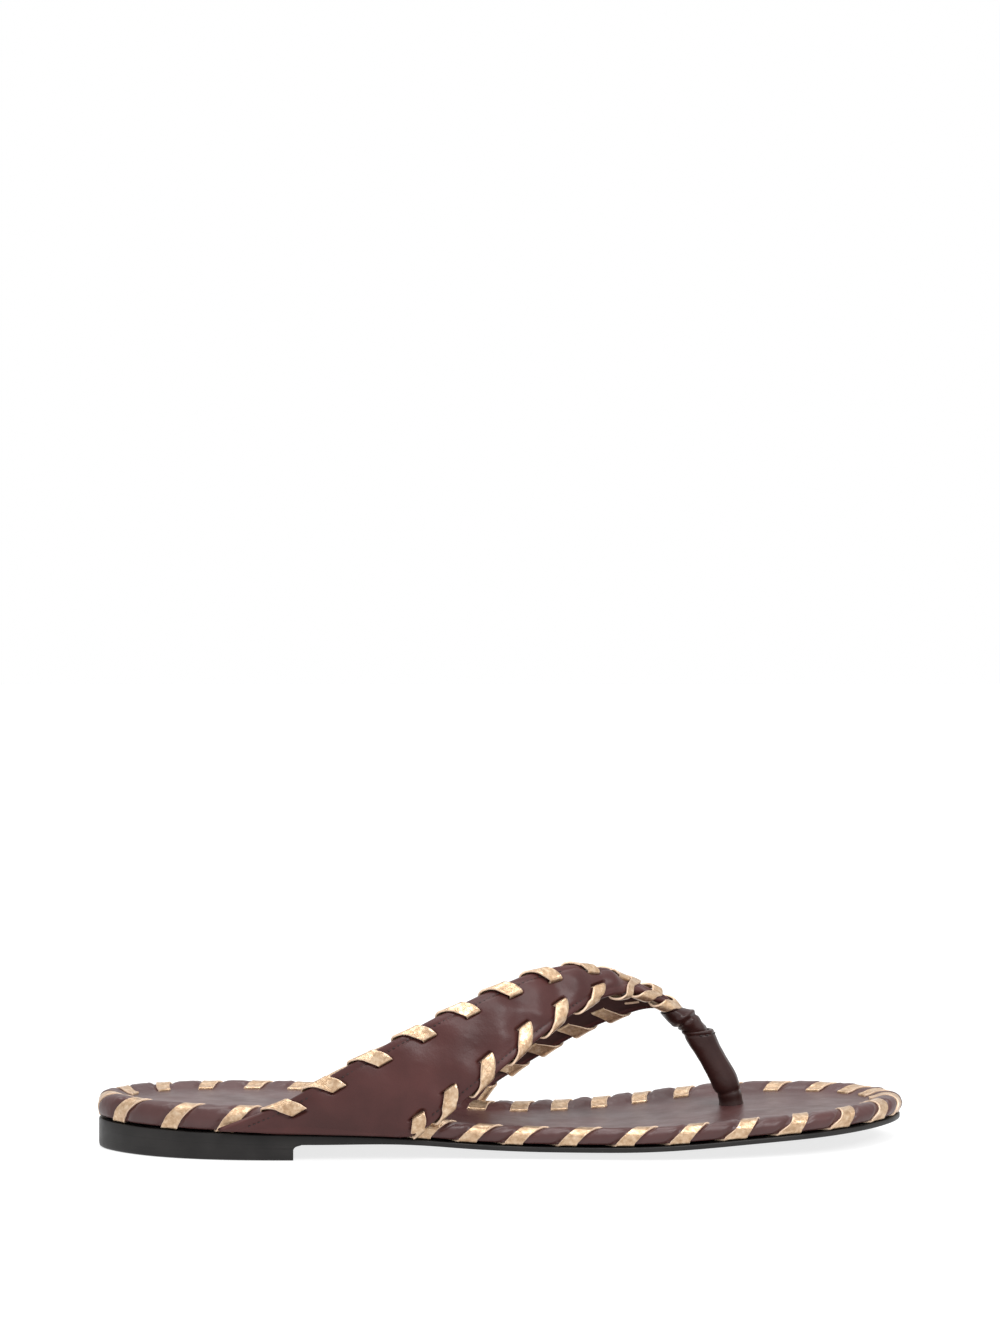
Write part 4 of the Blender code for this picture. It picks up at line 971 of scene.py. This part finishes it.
POST_LEVEL_FROM = 0.62
RIDGE_FACES, HOLLOW_FACES = (0.62, -0.78, 0.2), (0.1, -1, 0.1)
SEAM_FACES, FULL_FACES = (0, 1, 0), (-0.75, -0.6, -0.4)


def bulge(out, faces, height, spread):
    """Swelling (or hollow, below zero) round the side of the post that faces a direction."""
    away = np.arccos(np.clip(out @ unit(np.array(faces)), -1, 1))
    return height * np.exp(-(away / spread) ** 2)


def post_level(share):
    return 0.85 * float(smooth(share, POST_LEVEL_FROM, 0.95))


def make_post(surface):
    """Leather tube wrapped round the cord core, with a soft ridge where the wrap is folded."""
    count, sides = 110, 72
    s, centres, directions, radii, length = post_frames(count)
    turn = np.arange(sides) * 2 * np.pi / sides
    outer, inner = [], []
    for k in range(count):
        share = s[k] / length
        out = unit(post_ring(centres[k], directions[k], 1.0, turn) - centres[k])
        fold = bulge(out, RIDGE_FACES, 0.42, 0.28) + bulge(out, HOLLOW_FACES, -0.10, 0.40)
        seam = bulge(out, SEAM_FACES, -0.22, 0.10)
        full = bulge(out, FULL_FACES, 1.35, 0.75)
        full = full * float(smooth(share, 0.12, 0.35)) * (1 - 0.5 * float(smooth(share, 0.8, 1)))
        foot = 0.35 * (1 - smooth(s[k], 1.5, 4.5)) - 0.30 * math.exp(-((s[k] - 7.0) / 0.8) ** 2)
        stitched = -0.20 * math.exp(-((length - 1.3 - s[k]) / 0.4) ** 2)
        lip = 0.12 * math.exp(-((length - 0.5 - s[k]) / 0.5) ** 2)
        radius = radii[k] + 0.15 + fold * smooth(share, 0.1, 0.3) + seam + foot + stitched + lip + full
        ring = post_ring(centres[k], directions[k], radius, turn, post_level(share))
        wave = 0.12 * noise(ring, 5.5, 8.1) + 0.05 * noise(ring, 1.9, 1.2)
        outer.append(post_ring(centres[k], directions[k], radius + wave, turn, post_level(share)))
    rim = post_ring(centres[-1] + directions[-1] * 0.25, directions[-1], radii[-1] - POST_WALL * 0.5, turn,
                    post_level(1))
    for k in range(count - 1, -1, -1):
        inner.append(post_ring(centres[k], directions[k], radii[k] - POST_WALL, turn,
                               post_level(s[k] / length)))
    rings = np.array(outer + [rim] + inner)
    points = rings.reshape(-1, 3)
    faces = tube_faces(len(rings), sides)
    last = (len(rings) - 1) * sides
    faces += [(last + j, last + (j + 1) % sides, (j + 1) % sides, j) for j in range(sides)]
    return make_piece("toe_post_leather", points, outward(points, faces), surface,
                      ["toe_post_wrap"])


def make_post_stitches(surface):
    s, centres, directions, radii, length = post_frames(400)
    k = int(np.argmin(np.abs(s - (length - 1.3))))
    parts = []
    count = 14
    for number in range(count):
        ends = []
        for share in (0.14, 0.72):
            turn = np.array([(number + share) * 2 * np.pi / count])
            level = post_level(s[k] / length)
            ends.append(post_ring(centres[k], directions[k], radii[k] + 0.34, turn, level)[0])
        up = unit((ends[0] + ends[1]) / 2 - centres[k])
        parts.append(stitch(ends[0], ends[1], up, 0.2))
    points, faces = merge(parts)
    return make_piece("toe_post_stitches", points, faces, surface)


def make_collar(surface):
    """Crumpled sleeve of thin leather between the strap ends and the post."""
    sections = [
        ((182.0, 9.2, 39.9), (0.30, 0, -0.95), 5.2, 3.4), ((184.2, 9.4, 38.4), (0.45, 0, -0.89), 5.2, 3.8),
        ((186.5, 9.9, 36.9), (0.61, 0.05, -0.79), 4.9, 3.8),
        ((188.4, 10.7, 35.2), (0.45, 0.1, -0.88), 4.5, 3.7),
        ((189.9, 11.5, 33.7), (0.3, 0.05, -0.95), 4.3, 3.7), ((191.0, 11.8, 32.0), (0.4, 0, -0.92), 3.8, 3.6),
        ((192.4, 11.8, 29.5), (0.5, 0, -0.86), 2.8, 2.8),
    ]
    rows = np.array([[*centre, *direction, width, height] for centre, direction, width, height in sections])
    curve = Spline(rows, knots=range(len(rows)))
    fine = curve(np.linspace(0, len(rows) - 1, 90))
    sides = 72
    turn = np.arange(sides) * 2 * np.pi / sides
    outer, inner = [], []
    for k, row in enumerate(fine):
        direction = unit(row[3:6])
        side = unit(np.cross((0, 0, 1), direction))
        upward = np.cross(direction, side)
        shape = np.outer(np.cos(turn), side) * row[6] + np.outer(np.sin(turn), upward) * row[7]
        ring = row[:3] + shape
        t = k / (len(fine) - 1)
        crumple = smooth(t, 0.04, 0.2) * (1 - smooth(t, 0.72, 0.85))
        slanted = ring @ np.array([[0.8, 0.2, 0.5], [0.1, 0.45, 0.1], [0.4, 0.1, 0.9]])
        fold = 0.55 * noise(slanted, 3.4, 4.4) + 0.22 * noise(ring, 1.8, 9.2)
        fold += 0.5 * np.exp(-((t - 0.30 - 0.06 * np.cos(turn)) / 0.05) ** 2)
        fold -= 0.45 * np.exp(-((t - 0.40 - 0.06 * np.cos(turn)) / 0.035) ** 2)
        outer.append(ring + unit(shape) * (fold * crumple)[:, None])
        if k < 34:
            inner.append(row[:3] + shape * (1 - 0.75 / np.array([row[6], row[7]]).mean()))
    rings = np.array(outer[::-1] + inner)
    points, faces = tube(rings)
    return make_piece("thong_collar_leather", points, outward(points, faces), surface,
                      ["thong_collar"])


# ---------------------------------------------------------------- outsole and heel

def make_outsole(surface):
    """Leather outsole with softly broken edges."""
    count = 900
    places = ring_places(count)
    columns = 12
    layers = [(0.5, 0.0, True), (0.12, 0.12, True), (0.0, 0.4, True), (0.0, 0.4, False),
              (0.12, 0.12, False), (0.5, 0.0, False)]
    rings = []
    free = smooth(OUTLINE.at(places)[:, 0], HEEL_BREAST, HEEL_BREAST + 5)
    for inset, lower, top in layers:
        kept = np.ones(count) if top else free
        xy = OUTLINE.at(places) + inward(places) * (OUTSOLE_EDGE_INSET + inset * kept)[:, None]
        thick = outsole_thickness(xy[:, 0])
        z = deck(xy) - lower if top else deck(xy) - thick + lower * kept
        rings.append(np.column_stack([xy, z]))

    def sheet(ring, start, inner_start, lower):
        xy, faces = fill_plan(ring, start, inner_start, columns)
        z = deck(xy) - (outsole_thickness(xy[:, 0]) if lower else 0)
        return np.column_stack([xy, z]), faces

    total = len(rings) * count
    top_points, top_faces = sheet(rings[0], 0, total, False)
    low_points, low_faces = sheet(rings[-1], (len(rings) - 1) * count, total + len(top_points), True)
    faces = [face[::-1] for face in tube_faces(len(rings), count)]
    faces += top_faces + [face[::-1] for face in low_faces]
    points = np.vstack(rings + [top_points, low_points])
    return make_piece("outsole_leather", points, outward(points, faces), surface,
                      ["outsole"], sharp=60)


def heel_plan(inset, breast, count=260, across=60):
    """Outline of the heel: round the back, then straight across the breast with tight corners."""
    s = np.linspace(-95, 95, 1500)
    arc = OUTLINE.at(s) + inward(s) * inset
    inside = arc[:, 0] < breast
    places = np.linspace(s[inside].min(), s[inside].max(), count)
    arc = OUTLINE.at(places) + inward(places) * inset
    straight = np.linspace(arc[-1], arc[0], across + 2)[1:-1]
    return np.vstack([arc, straight])


def make_heel(block_surface, lift_surface):
    flush = OUTSOLE_EDGE_INSET
    block_levels = [
        (flush, HEEL_BREAST, HEEL_LIFT_THICK, False), (flush, HEEL_BREAST, HEEL_LIFT_THICK + 1.2, False),
        (flush, HEEL_BREAST + 0.1, 1.3, True), (flush, HEEL_BREAST + 0.4, 0.85, True),
        (flush, HEEL_BREAST + 0.9, 0.5, True), (flush, HEEL_BREAST + 1.6, 0.25, True),
        (flush, HEEL_BREAST + 2.4, 0.02, True),
    ]
    lift_levels = [
        (flush + 1.1, HEEL_BREAST - 0.3, 0.0, False), (flush + 0.6, HEEL_BREAST - 0.05, 0.1, False),
        (flush + 0.25, HEEL_BREAST, 0.35, False), (flush + 0.06, HEEL_BREAST, 0.9, False),
        (flush, HEEL_BREAST, 1.6, False), (flush, HEEL_BREAST, HEEL_LIFT_THICK - 0.01, False),
    ]
    for name, node, levels, surface, slot in (
        ("heel_block_leather", "heel_block", block_levels, block_surface, "black_leather"),
        ("heel_top_lift_rubber", "heel_top_lift", lift_levels, lift_surface, "black_rubber"),
    ):
        rings = []
        for inset, breast, height, under in levels:
            plan = heel_plan(inset, breast)
            z = deck(plan) - outsole_thickness(plan[:, 0]) - height if under else np.full(len(plan), height)
            rings.append(np.column_stack([plan, z]))
        points, faces = tube(np.array(rings))
        make_piece(name, points, outward(points, faces), surface, [node], sharp=40)


# ---------------------------------------------------------------- stage

def make_stage():
    mesh = bpy.data.meshes.new("floor")
    size = 30
    corners = [(-size, -size, 0), (size, -size, 0), (size, size, 0), (-size, size, 0)]
    mesh.from_pydata(corners, [], [(0, 1, 2, 3)])
    floor = bpy.data.objects.new("floor", mesh)
    bpy.context.scene.collection.objects.link(floor)
    floor.location.z = -0.00005
    n = Nodes("white_floor")
    n.finish(Base_Color=(0.26, 0.26, 0.26, 1), Roughness=0.9, Specular_IOR_Level=0.1,
             Emission_Color=(1, 1, 1, 1), Emission_Strength=0.78)
    mesh.materials.append(n.material)

    world = bpy.data.worlds.new("studio")
    world.use_nodes = True
    world.node_tree.nodes["Background"].inputs["Color"].default_value = (1, 1, 1, 1)
    world.node_tree.nodes["Background"].inputs["Strength"].default_value = 1.0
    bpy.context.scene.world = world

    for name, place, size, power in (
        ("key", (0.08, -0.66, 0.98), 0.42, 5.0),
        ("side", (0.60, -0.79, 0.74), 0.36, 6.0),
        ("top", (-0.1, 0.15, 1.2), 0.8, 9.0),
    ):
        light = bpy.data.lights.new(name, "AREA")
        light.energy = power
        light.size = size
        lamp = bpy.data.objects.new(name, light)
        lamp.location = place
        lamp.rotation_euler = (Vector(VIEW_TARGET) - Vector(place)).to_track_quat("-Z", "Y").to_euler()
        bpy.context.scene.collection.objects.link(lamp)


def make_camera():
    turn, rise = math.radians(VIEW_TURN), math.radians(VIEW_HEIGHT)
    back = Vector((-math.sin(turn) * math.cos(rise), -math.cos(turn) * math.cos(rise), math.sin(rise)))
    side = Vector((math.cos(turn), -math.sin(turn), 0))
    data = bpy.data.cameras.new("camera")
    data.sensor_width = 36
    data.lens = VIEW_LENS
    data.clip_start, data.clip_end = 0.01, 100
    camera = bpy.data.objects.new("camera", data)
    camera.location = Vector(VIEW_TARGET) + back * VIEW_DISTANCE + side * VIEW_SIDE
    camera.rotation_euler = (math.radians(90 + VIEW_PITCH), 0, -turn)
    bpy.context.scene.collection.objects.link(camera)
    bpy.context.scene.camera = camera


# ---------------------------------------------------------------- assembly

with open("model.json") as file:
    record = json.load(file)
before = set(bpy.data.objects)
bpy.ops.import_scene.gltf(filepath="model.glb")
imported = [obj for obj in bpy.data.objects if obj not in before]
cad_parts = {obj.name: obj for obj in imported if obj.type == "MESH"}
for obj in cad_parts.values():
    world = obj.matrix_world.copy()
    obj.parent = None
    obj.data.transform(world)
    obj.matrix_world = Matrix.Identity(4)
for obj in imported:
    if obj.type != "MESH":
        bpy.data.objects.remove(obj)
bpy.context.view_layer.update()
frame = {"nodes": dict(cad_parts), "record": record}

strap_leather = leather("brown_strap_leather", (0.042, 0.0115, 0.0105), (0.062, 0.018, 0.0165), 0.40)
bed_leather = leather("brown_footbed_leather", (0.046, 0.0145, 0.0135), (0.064, 0.022, 0.021), 0.38,
                      specular=0.42)
# The post and the collar use the strap's brown painted about half as dark. This is painted shade for where
# they stand in partial shade, not a darker leather.
shaded_post_leather = leather("brown_post_leather", (0.018, 0.005, 0.004), (0.030, 0.009, 0.0075), 0.36)
lining_leather = leather("brown_lining_leather", (0.030, 0.011, 0.010), (0.042, 0.016, 0.014), 0.58)
gold = gold_foil("gold_lace_foil")
# Cut edges of the laces are partly the leather's own edge colour and partly a painted highlight. The pale tan
# stands in for the bright line of light along each edge, on every side alike.
lace_edge_highlight = plain_grain("lace_edge_painted_highlight", (0.72, 0.52, 0.37), 0.45)
black = sole_black("black_sole_edge")
thread = plain_grain("dark_thread", (0.018, 0.008, 0.007), 0.6, scale=3000.0)

inner_surfaces = {
    "felt": plain_grain("grey_felt", (0.30, 0.29, 0.28), 0.9),
    "fibre_board": plain_grain("tan_fibre_board", (0.36, 0.29, 0.20), 0.8),
    "foam": plain_grain("cream_foam", (0.70, 0.66, 0.56), 0.9),
    "cotton": plain_grain("natural_cotton", (0.72, 0.69, 0.62), 0.9),
    "steel": plain_grain("brushed_steel", (0.55, 0.56, 0.58), 0.38, 1.0),
}
for part in frame["record"]["subparts"]:
    surface = inner_surfaces.get(part["material_slot"])
    if surface:
        node_mesh = frame["nodes"][part["node"]].data
        node_mesh.materials.clear()
        node_mesh.materials.append(surface)

make_camera()
make_stage()

footbed = make_footbed(bed_leather)
make_outsole(black)
make_heel(black, black)
make_rim_lace("rim_lace_toe_gold", "rim_lace_toe", TOE_TURNS, gold, lace_edge_highlight)
make_rim_lace("rim_lace_heel_gold", "rim_lace_heel", HEEL_TURNS, gold, lace_edge_highlight)

lateral = Strap("lateral", LATERAL_REAR, LATERAL_FRONT, -1, LATERAL_MARGIN,
                LATERAL_REAR_SLITS, LATERAL_FRONT_SLITS)
medial = Strap("medial", MEDIAL_REAR, MEDIAL_FRONT, 1, MEDIAL_MARGIN,
               MEDIAL_REAR_SLITS, MEDIAL_FRONT_SLITS)
for strap, folds in ((lateral, 0.0), (medial, 11.0)):
    make_strap(strap, strap_leather, folds)
    make_lining(strap, lining_leather)
    make_strap_lace(strap, True, (-1.1, -9.9), gold, lace_edge_highlight)
    make_strap_lace(strap, False, (-1.9, -10.9) if strap is lateral else (-3.2, -11.2), gold, lace_edge_highlight)
    make_strap_stitches(strap, thread)
make_thong_loops(lateral, gold, lace_edge_highlight)
make_post(shaded_post_leather)
make_post_stitches(thread)
make_collar(shaded_post_leather)

bpy.context.scene.view_settings.view_transform = "Standard"
